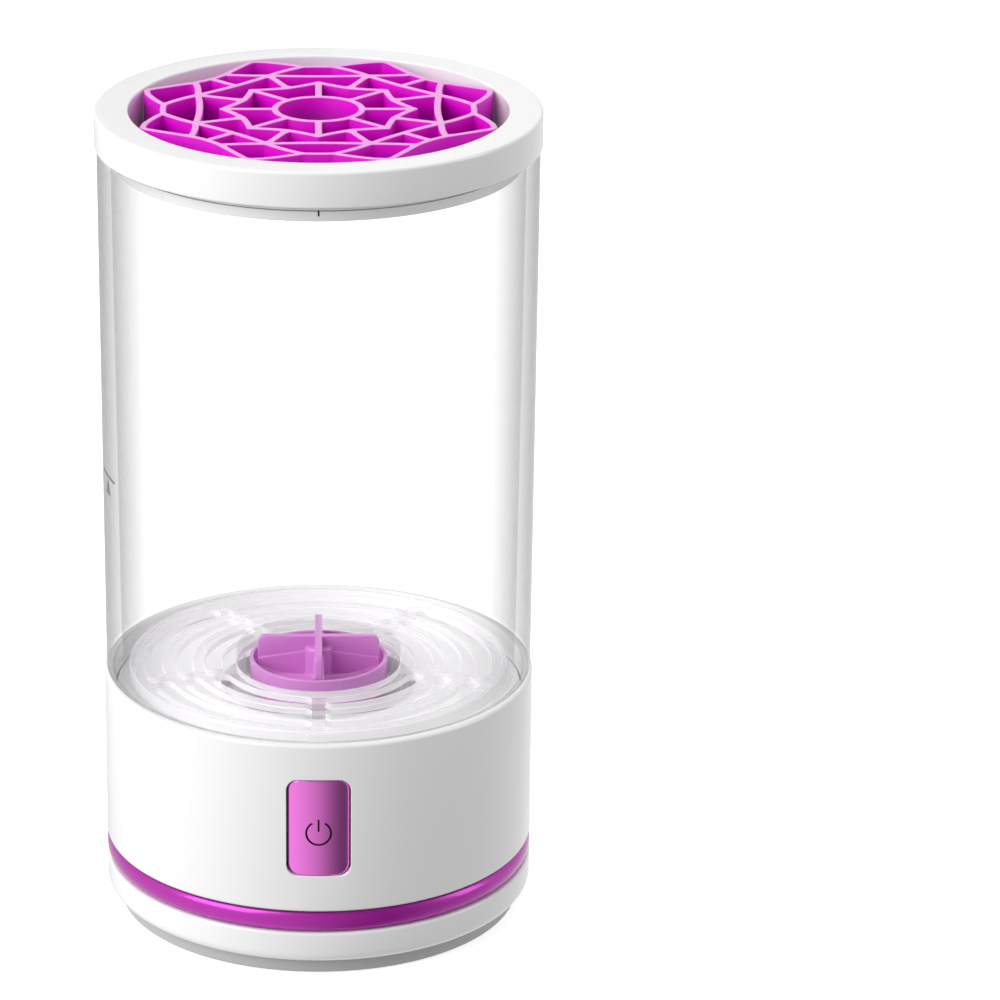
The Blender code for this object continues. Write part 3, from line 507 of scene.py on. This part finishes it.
def lathe(name, points, material=None, sides=FINE, steps=6):
    """A turned piece from its section (radius, z), which is closed unless it starts and ends on the axis."""
    section = rounded(points, steps)
    on_axis = section[0].x == 0
    shape = bmesh.new()
    verts = [shape.verts.new((p.x * MM, 0, p.y * MM)) for p in section]
    pairs = list(zip(verts, verts[1:]))
    if not on_axis:
        pairs.append((verts[-1], verts[0]))
    edges = [shape.edges.new(pair) for pair in pairs]
    turn = {"cent": (0, 0, 0), "axis": (0, 0, 1), "angle": 2 * math.pi, "steps": sides}
    bmesh.ops.spin(shape, geom=verts + edges, use_merge=True, **turn)
    bmesh.ops.remove_doubles(shape, verts=shape.verts, dist=0.0000005)
    bmesh.ops.recalc_face_normals(shape, faces=shape.faces)
    return add_mesh(name, shape, material)


def flat_shape(outlines, z0, z1, edge=0.0, edge_steps=2):
    """Outlines filled between two heights, with the inner ones as holes and with rounded edges, as a bmesh."""
    curve = bpy.data.curves.new("outline", "CURVE")
    curve.dimensions = "2D"
    curve.fill_mode = "BOTH"
    curve.extrude = ((z1 - z0) / 2 - edge) * MM
    curve.bevel_depth = edge * MM
    curve.bevel_resolution = edge_steps
    curve.offset = -edge * MM
    for outline in outlines:
        spline = curve.splines.new("POLY")
        spline.points.add(len(outline) - 1)
        for point, place in zip(spline.points, outline):
            point.co = (place.x * MM, place.y * MM, 0, 1)
        spline.use_cyclic_u = True
    guide = bpy.data.objects.new("outline", curve)
    bpy.context.scene.collection.objects.link(guide)
    bpy.context.view_layer.update()
    evaluated = guide.evaluated_get(bpy.context.evaluated_depsgraph_get())
    mesh = bpy.data.meshes.new_from_object(evaluated)
    shape = bmesh.new()
    shape.from_mesh(mesh)
    bmesh.ops.translate(shape, verts=shape.verts, vec=(0, 0, (z0 + z1) / 2 * MM))
    bmesh.ops.remove_doubles(shape, verts=shape.verts, dist=0.000001)
    bmesh.ops.recalc_face_normals(shape, faces=shape.faces)
    bpy.data.objects.remove(guide)
    bpy.data.curves.remove(curve)
    bpy.data.meshes.remove(mesh)
    return shape


def flat_piece(name, outlines, z0, z1, material=None, edge=0.0, edge_steps=2):
    return add_mesh(name, flat_shape(outlines, z0, z1, edge, edge_steps), material)


def standing_shape(outline, near, far, edge=0.0, edge_steps=2):
    """An outline in X and Z filled from one distance to another in front of the axis, as a bmesh."""
    shape = flat_shape([outline], near, far, edge, edge_steps)
    bmesh.ops.transform(shape, matrix=Matrix.Rotation(math.radians(90), 4, "X"), verts=shape.verts)
    return shape


def sliced(shape, spacing, reach):
    """Cuts the shape with upright planes across X, so that it can be bent."""
    steps = math.ceil(reach / spacing)
    for i in range(-steps, steps + 1):
        parts = shape.verts[:] + shape.edges[:] + shape.faces[:]
        bmesh.ops.bisect_plane(shape, geom=parts, plane_co=(i * spacing * MM, 0, 0), plane_no=(1, 0, 0))
    return shape


def bent(shape, radius, azimuth=0.0):
    """Wraps a shape that stands flat in front of the axis round a cylinder, turned to an angle from the front."""
    for vert in shape.verts:
        angle = math.radians(azimuth) + vert.co.x / (radius * MM)
        distance = -vert.co.y
        vert.co.x, vert.co.y = distance * math.sin(angle), -distance * math.cos(angle)
    return shape


def applied(item, *operations):
    """The object with Booleans applied: each operation is (kind, other object), and the others are removed."""
    for kind, other in operations:
        boolean = item.modifiers.new(kind, "BOOLEAN")
        boolean.operation = kind
        boolean.object = other
    bpy.context.view_layer.update()
    evaluated = item.evaluated_get(bpy.context.evaluated_depsgraph_get())
    mesh = bpy.data.meshes.new_from_object(evaluated)
    item.modifiers.clear()
    item.data = mesh
    mesh.shade_smooth()
    mesh.set_sharp_from_angle(angle=math.radians(SHARP))
    for _, other in operations:
        bpy.data.objects.remove(other)
    return item


def polar(radius, degrees):
    """The point at a radius and an angle from +X."""
    angle = math.radians(degrees)
    return Vector((radius * math.cos(angle), radius * math.sin(angle)))


def arc(radius, start, end, steps):
    """Points along an arc round the origin, from one angle to another."""
    return [polar(radius, start + (end - start) * i / steps) for i in range(steps + 1)]


def rounded_rectangle(width, height, corner, centre_y=0.0, steps=10):
    signs = ((1, 1), (-1, 1), (-1, -1), (1, -1))
    corners = [(sx * width / 2, centre_y + sy * height / 2, corner) for sx, sy in signs]
    return rounded(corners, steps)


def rectangle(half_width, z0, z1):
    """A flat outline across the front, between two heights."""
    return [Vector(p) for p in ((-half_width, z0), (half_width, z0), (half_width, z1), (-half_width, z1))]


def box_shape(low_corner, high_corner):
    """A block between two corners, as a bmesh."""
    low_corner, high_corner = Vector(low_corner) * MM, Vector(high_corner) * MM
    shape = bmesh.new()
    bmesh.ops.create_cube(shape, size=1)
    size = Matrix.Diagonal((high_corner - low_corner).to_4d())
    size[3][3] = 1
    place = Matrix.Translation((low_corner + high_corner) / 2)
    bmesh.ops.transform(shape, matrix=place @ size, verts=shape.verts)
    return shape


def stands_for(piece, node, body):
    """The piece takes a CAD node's place on its body."""
    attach(piece, body)
    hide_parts(node)


def rides(piece, body):
    """The piece moves with a body and stands for no CAD node."""
    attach(piece, body)


# ---------------------------------------------------------------- base


def button_flare(opening):
    """The cutter that eases the edge of the button's opening: the opening, wider in front of the shell."""
    flare = sliced(standing_shape(opening, BODY_R - 0.15, BODY_R + 0.45), 0.4, 8)
    for vert in flare.verts:
        if vert.co.y < -BODY_R * MM:
            vert.co.x += math.copysign(BUTTON_FLARE * MM, vert.co.x)
            vert.co.z += math.copysign(BUTTON_FLARE * MM, vert.co.z - BUTTON_Z * MM)
    return bent(flare, BODY_R)


def make_upper_shell(material):
    section = [
        (SHELL_IN_R, DECK_Z),
        (BODY_R - RIM_WALL, DECK_Z),
        (BODY_R - RIM_WALL, SHELL_TOP, 0.5),
        (BODY_R, SHELL_TOP, 0.8),
        (BODY_R, SHELL_Z, 0.8),
        (SHELL_IN_R, SHELL_Z, 0.2),
        (SHELL_IN_R, DECK_LEDGE_Z[0]),
        (DECK_LEDGE_R, DECK_LEDGE_Z[0], 0.3),
        (DECK_LEDGE_R, DECK_LEDGE_Z[1], 0.3),
        (SHELL_IN_R, DECK_LEDGE_Z[1]),
    ]
    shell = lathe("upper_shell_body", section, material)
    gap = 2 * BUTTON_GAP
    opening = rounded_rectangle(BUTTON_W + gap, BUTTON_H + gap, BUTTON_CORNER + BUTTON_GAP, BUTTON_Z)
    inlet = rounded_rectangle(PORT_W, PORT_H, PORT_CORNER, PORT_Z)
    keyway = (-KEY_W / 2 - 0.3, KEYWAY_Y[0], KEYWAY_Z[0]), (KEY_W / 2 + 0.3, KEYWAY_Y[1], KEYWAY_Z[1])
    cutters = [
        add_mesh("cut_button", standing_shape(opening, 40, 50)),
        add_mesh("cut_button_edge", button_flare(opening)),
        add_mesh("cut_ledge", box_shape(*BUTTON_ROOM)),
        add_mesh("cut_inlet", standing_shape(inlet, -50, -40)),
        add_mesh("cut_key", box_shape(*keyway)),
    ]
    applied(shell, *[("DIFFERENCE", cutter) for cutter in cutters])
    stands_for(shell, "upper_shell", "base")


def make_deck_joint(material):
    """The bead that closes the joint between the deck and the well cup."""
    low_end, high_end = DECK_JOINT_Z
    inner = WELL_R - 0.02
    bead = [(DECK_JOINT_R, high_end), (inner, high_end), (inner, low_end), (DECK_JOINT_R, low_end)]
    rides(lathe("deck_joint_bead", bead, material), "base")


def make_trim_ring(material):
    """A glossy band with a crowned face."""
    middle = sum(TRIM_Z) / 2
    half = (TRIM_Z[1] - TRIM_Z[0]) / 2
    crown = []
    for i in range(25):
        angle = math.radians(90 - 7.5 * i)
        crown.append((BODY_R - TRIM_CROWN + TRIM_CROWN * math.cos(angle), middle + half * math.sin(angle)))
    section = [(SHELL_IN_R, TRIM_Z[1]), *crown, (SHELL_IN_R, TRIM_Z[0])]
    stands_for(lathe("trim_band", section, material), "trim_ring", "base")


def make_lower_shell(material):
    """The pan: its floor, its tongue inside the shell, and four screw holes."""
    section = [
        (0, PAN_FLOOR),
        (TONGUE_R - TONGUE_WALL, PAN_FLOOR, 0.8),
        (TONGUE_R - TONGUE_WALL, TONGUE_TOP),
        (TONGUE_R, TONGUE_TOP),
        (TONGUE_R, PAN_TOP),
        (BODY_R, PAN_TOP, 0.6),
        (BODY_R, PAN_Z, 2.6),
        (0, PAN_Z),
    ]
    pan = lathe("lower_shell_body", section, material, steps=8)
    holes = []
    for i in range(4):
        hole = lathe(f"cut_{i}", [(0, 8), (SCREW_HOLE_R, 8), (SCREW_HOLE_R, 2), (0, 2)], sides=48)
        at = polar(SCREW_XY * math.sqrt(2), 45 + 90 * i)
        hole.location = (at.x * MM, at.y * MM, 0)
        holes.append(hole)
    applied(pan, *[("DIFFERENCE", hole) for hole in holes])
    stands_for(pan, "lower_shell", "base")


def make_foot_ring(material):
    section = [(FOOT_R, FOOT_H, 0.3), (FOOT_R, 0, 0.7), (FOOT_IN_R, 0, 0.6), (FOOT_IN_R, FOOT_H)]
    stands_for(lathe("foot_pad", section, material), "foot_ring", "base")


def make_power_button(material, ink):
    """The button, whose face falls back towards its two sides, with a plain power mark."""
    outline = rounded_rectangle(BUTTON_W, BUTTON_H, BUTTON_CORNER, BUTTON_Z)
    block = standing_shape(outline, BUTTON_BACK, BODY_R, edge=BUTTON_EDGE, edge_steps=5)
    shape = sliced(block, 0.4, BUTTON_W / 2)
    for vert in shape.verts:
        if vert.co.y < -BUTTON_FACE * MM:
            vert.co.y += BUTTON_BULGE * (vert.co.x / (BUTTON_W / 2 * MM)) ** 2 * MM
    face = add_mesh("button_face", bent(shape, BODY_R), material, sharp=60)
    stands_for(face, "power_button", "button")
    near, far = BODY_R - 0.3, BODY_R + 0.02
    broken_ring = arc(SYMBOL_R[1], 120, 420, 60) + arc(SYMBOL_R[0], 420, 120, 60)
    ring = [point + Vector((0, SYMBOL_Z)) for point in broken_ring]
    bar = rectangle(SYMBOL_BAR_W / 2, *SYMBOL_BAR_Z)
    for name, mark in (("power_symbol_ring", ring), ("power_symbol_bar", bar)):
        shape = bent(sliced(standing_shape(mark, near, far), 0.4, 3), BODY_R)
        rides(add_mesh(name, shape, ink), "button")


# ---------------------------------------------------------------- tank, wash plate and impeller


def make_tank(floor_material, outer_material, inner_material):
    """The tank. Its floor, the outside of its wall and the inside each have a finish of their own."""
    section = [
        (0, TANK_WELL_Z + PIN_BOSS_H),
        (PIN_HOLE_R, TANK_WELL_Z + PIN_BOSS_H),
        (PIN_HOLE_R, WELL_FLOOR + PIN_BOSS_H),
        (PIN_BOSS_R, WELL_FLOOR + PIN_BOSS_H, 0.2),
        (PIN_BOSS_R, WELL_FLOOR, 0.3),
        (TANK_WELL_R - WELL_WALL, WELL_FLOOR, 0.8),
        (TANK_WELL_R - WELL_WALL, TANK_FLOOR, 0.6),
        (TANK_IN_R[0], TANK_FLOOR, 1.6),
        (TANK_IN_R[1], TANK_TOP, 0.5),
        (TANK_TOP_R, TANK_TOP, 0.5),
        (TANK_LOW_R, TANK_SHOULDER, 0.8),
        (TANK_FOOT_R, TANK_SHOULDER, 0.3),
        (TANK_FOOT_R, TANK_FOOT_Z, 0.8),
        (TANK_FOOT_R - TANK_FOOT_W, TANK_FOOT_Z),
        (TANK_FOOT_R - TANK_FOOT_W, TANK_FOOT_Z + TANK_FOOT_H),
        (TANK_WELL_R, TANK_FOOT_Z + TANK_FOOT_H),
        (TANK_WELL_R, TANK_WELL_Z, 0.8),
        (0, TANK_WELL_Z),
    ]
    tank = lathe("tank_body", section, floor_material)
    low_corner = (-KEY_W / 2, -TANK_FOOT_R - KEY_REACH, KEY_Z[0])
    high_corner = (KEY_W / 2, -TANK_FOOT_R + 1, KEY_Z[1])
    applied(tank, ("UNION", add_mesh("tank_key", box_shape(low_corner, high_corner))))
    tank.data.materials.append(outer_material)
    tank.data.materials.append(inner_material)
    for face in tank.data.polygons:
        outwards = face.normal.x * face.center.x + face.normal.y * face.center.y
        if face.center.z > (TANK_FLOOR + 1.0) * MM:
            face.material_index = 1 if outwards > 0 else 2
    tank.visible_shadow = False
    tank.visible_diffuse = False
    stands_for(tank, "tank", "tank")


def make_level_mark(ink):
    """A plain line with a pointer at the highest water level, on the tank's left side."""
    rise = (LEVEL_Z - TANK_SHOULDER) / (TANK_TOP - TANK_SHOULDER)
    radius = TANK_LOW_R + (TANK_TOP_R - TANK_LOW_R) * rise
    near, far = radius - 0.05, radius + 0.06
    line = rectangle(5, LEVEL_Z, LEVEL_Z + 0.5)
    tip, foot = LEVEL_Z - 0.8, LEVEL_Z - 3.8
    pointer = [Vector(p) for p in ((0, tip), (-1.7, foot), (1.7, foot))]
    for name, mark in (("level_line", line), ("level_pointer", pointer)):
        shape = bent(sliced(standing_shape(mark, near, far), 0.5, 5), radius, LEVEL_AZIMUTH)
        rides(add_mesh(name, shape, ink), "tank")


def slot_outline(inner, outer, start, end):
    """An arc slot with round ends."""
    middle, half = (inner + outer) / 2, (outer - inner) / 2
    outline = arc(outer, start, end, 30)
    for degrees, first in ((end, 0), (start, 180)):
        centre = polar(middle, degrees)
        outline += [centre + polar(half, degrees + first + 15 * i) for i in range(1, 12)]
        if not first:
            outline += arc(inner, end, start, 30)
    return outline


def make_wash_plate(material, edge_material, collar_material):
    """The slotted plate with its skirt and tab, more solid at its edges, and the collar as a piece of its own."""
    outlines = [arc(PLATE_R - 0.6, 0, 360, FINE)[:-1], arc(COLLAR[1] - 0.1, 0, 360, FINE)[:-1]]
    pitch = 360 / RIBS
    for inner, outer in SLOT_ROWS:
        blank = math.degrees((RIB_W + outer - inner) / (inner + outer))
        for i in range(RIBS):
            start = -90 + pitch * i
            outlines.append(slot_outline(inner, outer, start + blank, start + pitch - blank))
    plate = flat_piece("wash_plate_disc", outlines, PLATE_TOP - PLATE_T, PLATE_TOP, material, PLATE_EDGE)
    floor = TANK_FLOOR + 0.3
    skirt = [
        (PLATE_R, SKIRT_TOP, 0.4),
        (PLATE_R, floor, 0.3),
        (PLATE_R - SKIRT_WALL, floor, 0.3),
        (PLATE_R - SKIRT_WALL, SKIRT_TOP, 0.4),
    ]
    collar = [
        (COLLAR[1], COLLAR_TOP, 0.4),
        (COLLAR[1], WELL_FLOOR + 0.3, 0.3),
        (COLLAR[0], WELL_FLOOR + 0.3, 0.3),
        (COLLAR[0], COLLAR_TOP, 0.4),
    ]
    tab = box_shape((-KEY_W / 2, TAB_Y[0], TAB_Z[0]), (KEY_W / 2, TAB_Y[1], TAB_Z[1]))
    applied(plate, ("UNION", lathe("skirt", skirt)), ("UNION", add_mesh("tab", tab)))
    plate.data.materials.append(edge_material)
    for face in plate.data.polygons:
        if abs(face.normal.z) < 0.8:
            face.material_index = 1
    ring = lathe("wash_plate_collar", collar, collar_material)
    for piece in (plate, ring):
        piece.visible_shadow = False
        stands_for(piece, "wash_plate", "tank")


def make_impeller(material):
    """The cup with its hub and two crossed vanes, each with a web along its foot."""
    section = [
        (0, HUB_Z[0]),
        (HUB_R - HUB_WALL, HUB_Z[0]),
        (HUB_R - HUB_WALL, IMP_FLOOR[0]),
        (IMP_R - IMP_WALL, IMP_FLOOR[0]),
        (IMP_R - IMP_WALL, IMP_Z),
        (IMP_R, IMP_Z, 0.3),
        (IMP_R, IMP_RIM, 0.3),
        (IMP_R - IMP_WALL, IMP_RIM, 0.3),
        (IMP_R - IMP_WALL, IMP_FLOOR[1], 0.5),
        (HUB_R, IMP_FLOOR[1], 0.4),
        (HUB_R, HUB_Z[1], 0.7),
        (0, HUB_Z[1]),
    ]
    cup = lathe("impeller_body", section, material, 128)
    foot = IMP_FLOOR[1] - 0.8
    vane = rounded([(VANE_R, foot), (VANE_R, IMP_TOP, 1.6), (-VANE_R, IMP_TOP, 1.6), (-VANE_R, foot)])
    rim = IMP_RIM - 0.1
    corners = ((VANE_R, foot), (VANE_R, rim), (0, WEB_TOP), (-VANE_R, rim), (-VANE_R, foot))
    web = [Vector(corner) for corner in corners]
    others = []
    for i in range(2):
        turn = Matrix.Rotation(math.radians(90 * i), 4, "Z")
        for outline, thick in ((vane, VANE_T), (web, WEB_T)):
            shape = standing_shape(outline, -thick / 2, thick / 2, VANE_EDGE)
            bmesh.ops.transform(shape, matrix=turn, verts=shape.verts)
            others.append(("UNION", add_mesh(f"blade_{i}", shape)))
    applied(cup, *others)
    stands_for(cup, "impeller", "impeller")


# ---------------------------------------------------------------- lid and drying insert


def make_lid(material, seal_material, ink):
    """The lid's band and plug, the ring in the plug's groove, and the small tick at the front."""
    section = [
        (LID_R, LID_TOP, 0.7),
        (LID_R, LID_Z, 0.5),
        (PLUG_R, LID_Z, 0.2),
        (PLUG_R, GROOVE_Z[1]),
        (PLUG_R - GROOVE_DEPTH, GROOVE_Z[1]),
        (PLUG_R - GROOVE_DEPTH, GROOVE_Z[0]),
        (PLUG_R, GROOVE_Z[0]),
        (PLUG_R, PLUG_Z, 0.3),
        (LEDGE_R, PLUG_Z, 0.3),
        (LEDGE_R, LEDGE_TOP, 0.3),
        (LID_MOUTH_R, LEDGE_TOP, 0.3),
        (LID_MOUTH_R, LID_TOP, 0.5),
    ]
    stands_for(lathe("lid_band", section, material), "lid_ring", "lid")
    inner, outer = PLUG_R - 0.6, PLUG_R + 0.3
    ring = [(outer, SEAL_Z[1], 0.25), (outer, SEAL_Z[0], 0.25), (inner, SEAL_Z[0]), (inner, SEAL_Z[1])]
    stands_for(lathe("lid_friction_ring", ring, seal_material), "lid_seal", "lid")
    tick = bent(standing_shape(rectangle(TICK_W / 2, *TICK_Z), PLUG_R - 0.1, PLUG_R + 0.06), PLUG_R)
    rides(add_mesh("lid_tick", tick, ink), "lid")


def bow(start, end, rise, spacing):
    """Points along a shallow arc from start to end that rises to the right of its chord."""
    chord = end - start
    side = Vector((chord.y, -chord.x)).normalized()
    steps = 2 * max(1, round(chord.length / spacing / 2))
    line = []
    for i in range(steps + 1):
        share = i / steps
        line.append(start + chord * share + side * rise * 4 * share * (1 - share))
    return line


def shifted(line, distance):
    """The line moved to its left by a distance, and lengthened at both ends so that neighbours cross."""
    moved = []
    for i, point in enumerate(line):
        before = (point - line[i - 1]).normalized() if i else None
        after = (line[i + 1] - point).normalized() if i + 1 < len(line) else None
        before, after = before or after, after or before
        left = Vector((-before.y - after.y, before.x + after.x))
        moved.append(point + left * distance / (1 + before.dot(after)))
    reach = 3.0
    first = moved[0] + (moved[0] - moved[1]).normalized() * reach
    last = moved[-1] + (moved[-1] - moved[-2]).normalized() * reach
    return [first, *moved, last]


def crossing(line, other, corner):
    """Where two lines cross nearest to a corner: (index in line, index in other, point)."""
    found = []
    for i, (a, b) in enumerate(zip(line, line[1:])):
        for j, (c, d) in enumerate(zip(other, other[1:])):
            run, cross = b - a, d - c
            scale = run.x * cross.y - run.y * cross.x
            if abs(scale) < 1e-9:
                continue
            t = ((c.x - a.x) * cross.y - (c.y - a.y) * cross.x) / scale
            u = ((c.x - a.x) * run.y - (c.y - a.y) * run.x) / scale
            if 0 <= t <= 1 and 0 <= u <= 1:
                point = a + run * t
                found.append(((point - corner).length, i, j, point))
    return min(found)[1:]


def inset(walls, distance):
    """The closed outline of walls that meet end to end, anticlockwise, moved inwards by a distance."""
    lines = [shifted(wall, distance) for wall in walls]
    count = len(lines)
    meets = [crossing(lines[i - 1], lines[i], walls[i][0]) for i in range(count)]
    outline = []
    for i in range(count):
        following = meets[(i + 1) % count]
        outline.append(meets[i][2])
        outline += lines[i][meets[i][1] + 1 : following[0] + 1]
    return outline


def eased(outline, reach, rounds=2):
    """The outline with its corners cut back a little, again and again, so that they look moulded."""
    for _ in range(rounds):
        softer = []
        for i, point in enumerate(outline):
            before, after = outline[i - 1] - point, outline[(i + 1) % len(outline)] - point
            bend = before.angle(-after) if before.length and after.length else 0
            if bend < math.radians(18):
                softer.append(point)
                continue
            softer.append(point + before.normalized() * min(reach, before.length * 0.4))
            softer.append(point + after.normalized() * min(reach, after.length * 0.4))
        outline, reach = softer, reach * 0.45
    return outline


def turned_walls(walls, degrees):
    turn = Matrix.Rotation(math.radians(degrees), 2)
    return [[turn @ point for point in wall] for wall in walls]


def mirrored_walls(walls, degrees):
    """The walls mirrored in the line at an angle, in the order that keeps them anticlockwise."""
    twice = math.radians(2 * degrees)
    mirror = Matrix(((math.cos(twice), math.sin(twice)), (math.sin(twice), -math.cos(twice))))
    return [[mirror @ point for point in reversed(wall)] for wall in reversed(walls)]


def insert_outlines(spacing):
    """The insert's edge and its 37 cells: a hub, a wavy star, a ring of chords, and eight petals."""
    hub_r, tip_r, valley_r, node_r = 9.2, 20.2, 17.2, 27.8
    tip, next_tip = polar(tip_r, 0), polar(tip_r, 45)
    valley, last_valley = polar(valley_r, 22.5), polar(valley_r, -22.5)
    node, last_node = polar(node_r, 22.5), polar(node_r, -22.5)
    hub_steps = max(2, round(7 / spacing))
    hub = arc(hub_r, 0, 360, 8 * hub_steps)[:-1]
    cells = []
    star = [arc(hub_r, 45, 0, hub_steps), [polar(hub_r, 0), tip], bow(tip, valley, -0.15, spacing)]
    star += [bow(valley, next_tip, -0.15, spacing), [next_tip, polar(hub_r, 45)]]
    chord = bow(node, last_node, 0.6, spacing)
    middle = [[last_valley, last_node], chord[::-1], [node, valley]]
    middle += [bow(tip, valley, -0.15, spacing)[::-1], bow(last_valley, tip, -0.15, spacing)[::-1]]
    for i in range(8):
        cells += [turned_walls(star, 45 * i), turned_walls(middle, 45 * i)]

    join_low, join_high = Vector((32.75, -3.3)), Vector((32.75, 3.3))
    low_wall = bow(last_node, join_low, 0.4, spacing)
    bridge = bow(join_low, join_high, 0.15, spacing)
    high_wall = bow(join_high, node, 0.4, spacing)
    lens = [low_wall, bridge, high_wall, chord]
    saddle, shoulder = polar(32.7, 45), polar(33.4, 37.6)
    corner = polar(39.95, 21.2)
    side = bow(join_high, corner, 0.5, spacing)
    crest = rounded([(*join_high,), (*corner, 2.0), (*shoulder,)], max(2, round(4 / spacing)))[1:-1]
    reach = (crest[0] - corner).length
    edge = [place for place in side if (place - corner).length > reach + 0.5] + crest + [shoulder]
    inner = bow(shoulder, node, 0.3, spacing)
    petal = [edge, inner, high_wall[::-1]]
    next_chord = turned_walls([chord], 45)[0]
    half_way = len(next_chord) // 2
    dip = bow(shoulder, saddle, -0.1, spacing)
    small = [inner[::-1], dip, [saddle, next_chord[half_way]], next_chord[half_way:]]
    rim = []
    for i in range(4):
        cells.append(turned_walls(lens, 90 * i))
        for walls in (petal, small):
            cells.append(turned_walls(walls, 90 * i))
            cells.append(turned_walls(mirrored_walls(walls, 45), 90 * i))
        flank = [edge, dip]
        rim += turned_walls([bridge, *flank, *mirrored_walls(flank, 45)], 90 * i)
    outlines = [eased(inset(rim, -INSERT_WALL / 2), 1.1, 3)]
    half = INSERT_CELL_WALL / 2
    outlines.append([point * ((hub_r - half) / hub_r) for point in hub])
    outlines += [eased(inset(walls, half), 1.5, 3) for walls in cells]
    return outlines


def make_drying_insert(material):
    outlines = insert_outlines(INSERT_SPACING)
    piece = flat_piece("insert_honeycomb", outlines, *INSERT_Z, material, INSERT_EDGE)
    stands_for(piece, "drying_insert", "insert")


# ---------------------------------------------------------------- finishes


def dress_inner_nodes(finishes):
    """Gives each CAD node that still shows its own finish."""
    steel, magnet, nylon, black = (finishes[key] for key in ("steel", "magnet", "nylon", "black"))
    chosen = {
        "deck": finishes["white"],
        "well_cup": finishes["white"],
        "spindle_pin": steel,
        "motor_can": steel,
        "motor_shaft": steel,
        "charge_port": steel,
        "motor_bush": finishes["bronze"],
        "motor_sleeve": finishes["black_rubber"],
        "motor_end_cap": nylon,
        "motor_bracket": nylon,
        "impeller_bush": nylon,
        "switch_plunger": nylon,
        "impeller_cap": finishes["impeller"],
        "drive_rotor": black,
        "switch_body": black,
        "battery_cradle": black,
        "port_tongue": black,
        "button_pad": finishes["seal"],
        "control_board": finishes["board"],
        "port_board": finishes["board"],
        "battery_cell": finishes["cell"],
        "battery_lead": moulded("lead_red", (0.6, 0.03, 0.03), 0.5),
        "motor_lead": finishes["black_rubber"],
        "charge_lead": moulded("lead_grey", (0.6, 0.6, 0.6), 0.5),
    }
    for name in NODES:
        if name.startswith(("case_screw", "motor_screw")):
            chosen[name] = steel
        if "magnet" in name:
            chosen[name] = magnet
    for name, material in chosen.items():
        mesh = NODES[name].data
        mesh.materials.clear()
        mesh.materials.append(material)


def make_finishes():
    return {
        "ink": moulded("ink", (0.010, 0.004, 0.010), 0.8, specular=0.1),
        "white": moulded("white_plastic", (0.90, 0.90, 0.90), 0.22, coat=0.25, tint=0.01),
        # the insert's body colour, then its painted shade deep in the cells, then its painted highlight on upward
        # faces
        "insert": silicone("insert_silicone", (0.76, 0.002, 0.65), (0.16, 0.0, 0.15), (0.88, 0.36, 0.77)),
        "trim": moulded("trim_gloss", (0.50, 0.012, 0.43), 0.30, coat=0.5, tint=0.03, metallic=0.55),
        "button": moulded("button_gloss", (0.97, 0.15, 0.82), 0.18, coat=1.0, metallic=1.0, coat_ior=1.9),
        "impeller": moulded("impeller_plastic", (0.68, 0.24, 0.66), 0.24, coat=0.35),
        **make_clear_finishes(),
        "foot": moulded("foot_rubber", (0.50, 0.50, 0.51), 0.65, grain=0.2),
        "seal": moulded("seal_silicone", (0.85, 0.85, 0.85), 0.5, grain=0.1),
        "level_ink": moulded("level_ink", (0.16, 0.16, 0.17), 0.4),
        "steel": metal("steel", (0.62, 0.62, 0.64), 0.28, (1, 1, 12)),
        "magnet": metal("nickel", (0.68, 0.67, 0.65), 0.15),
        "bronze": metal("bronze", (0.62, 0.38, 0.17), 0.4),
        "nylon": moulded("nylon", (0.80, 0.80, 0.77), 0.45, grain=0.1),
        "black": moulded("black_plastic", (0.03, 0.03, 0.032), 0.45, grain=0.15),
        "black_rubber": moulded("black_rubber", (0.02, 0.02, 0.02), 0.8, grain=0.3),
        "board": printed_board("board"),
        "cell": moulded("cell_wrap", (0.05, 0.16, 0.50), 0.25, coat=0.4),
    }


def make_clear_finishes():
    """Each has its colour and roughness, then how faint, how strong, where it starts and its power."""
    pearl, pale_pearl = (1.0, 0.985, 1.0), (0.97, 0.93, 1.0)
    return {
        "clear": clear("tank_clear", (0.10, 0.10, 0.11), 0.02, 0.0, 0.84, 0.24, 1.6),
        "clear_floor": clear("tank_clear_floor", (0.92, 0.92, 0.94), 0.05, 0.02, 0.35, 0.4),
        "clear_inside": clear("tank_clear_inside", (0.12, 0.12, 0.13), 0.02, 0.0, 0.30, 0.15, 1.6),
        "plate": clear("plate_clear", pearl, 0.10, 0.16, 1.0, 0.50, 1.5, pale_pearl),
        "plate_edge": clear("plate_edge", (1.0, 0.99, 1.0), 0.15, 0.62, 0.95, 0.3),
        "collar": clear("collar_clear", (0.95, 0.93, 0.97), 0.06, 0.02, 0.45, 0.4),
    }


def main():
    bpy.context.scene.view_settings.view_transform = "Standard"
    add_camera()
    add_room()
    add_lights()
    add_floor()
    finishes = make_finishes()
    make_upper_shell(finishes["white"])
    make_lower_shell(finishes["white"])
    make_deck_joint(finishes["white"])
    make_trim_ring(finishes["trim"])
    make_foot_ring(finishes["foot"])
    make_power_button(finishes["button"], finishes["ink"])
    make_tank(finishes["clear_floor"], finishes["clear"], finishes["clear_inside"])
    make_level_mark(finishes["level_ink"])
    make_wash_plate(finishes["plate"], finishes["plate_edge"], finishes["collar"])
    make_impeller(finishes["impeller"])
    make_lid(finishes["white"], finishes["seal"], finishes["ink"])
    make_drying_insert(finishes["insert"])
    dress_inner_nodes(finishes)


main()
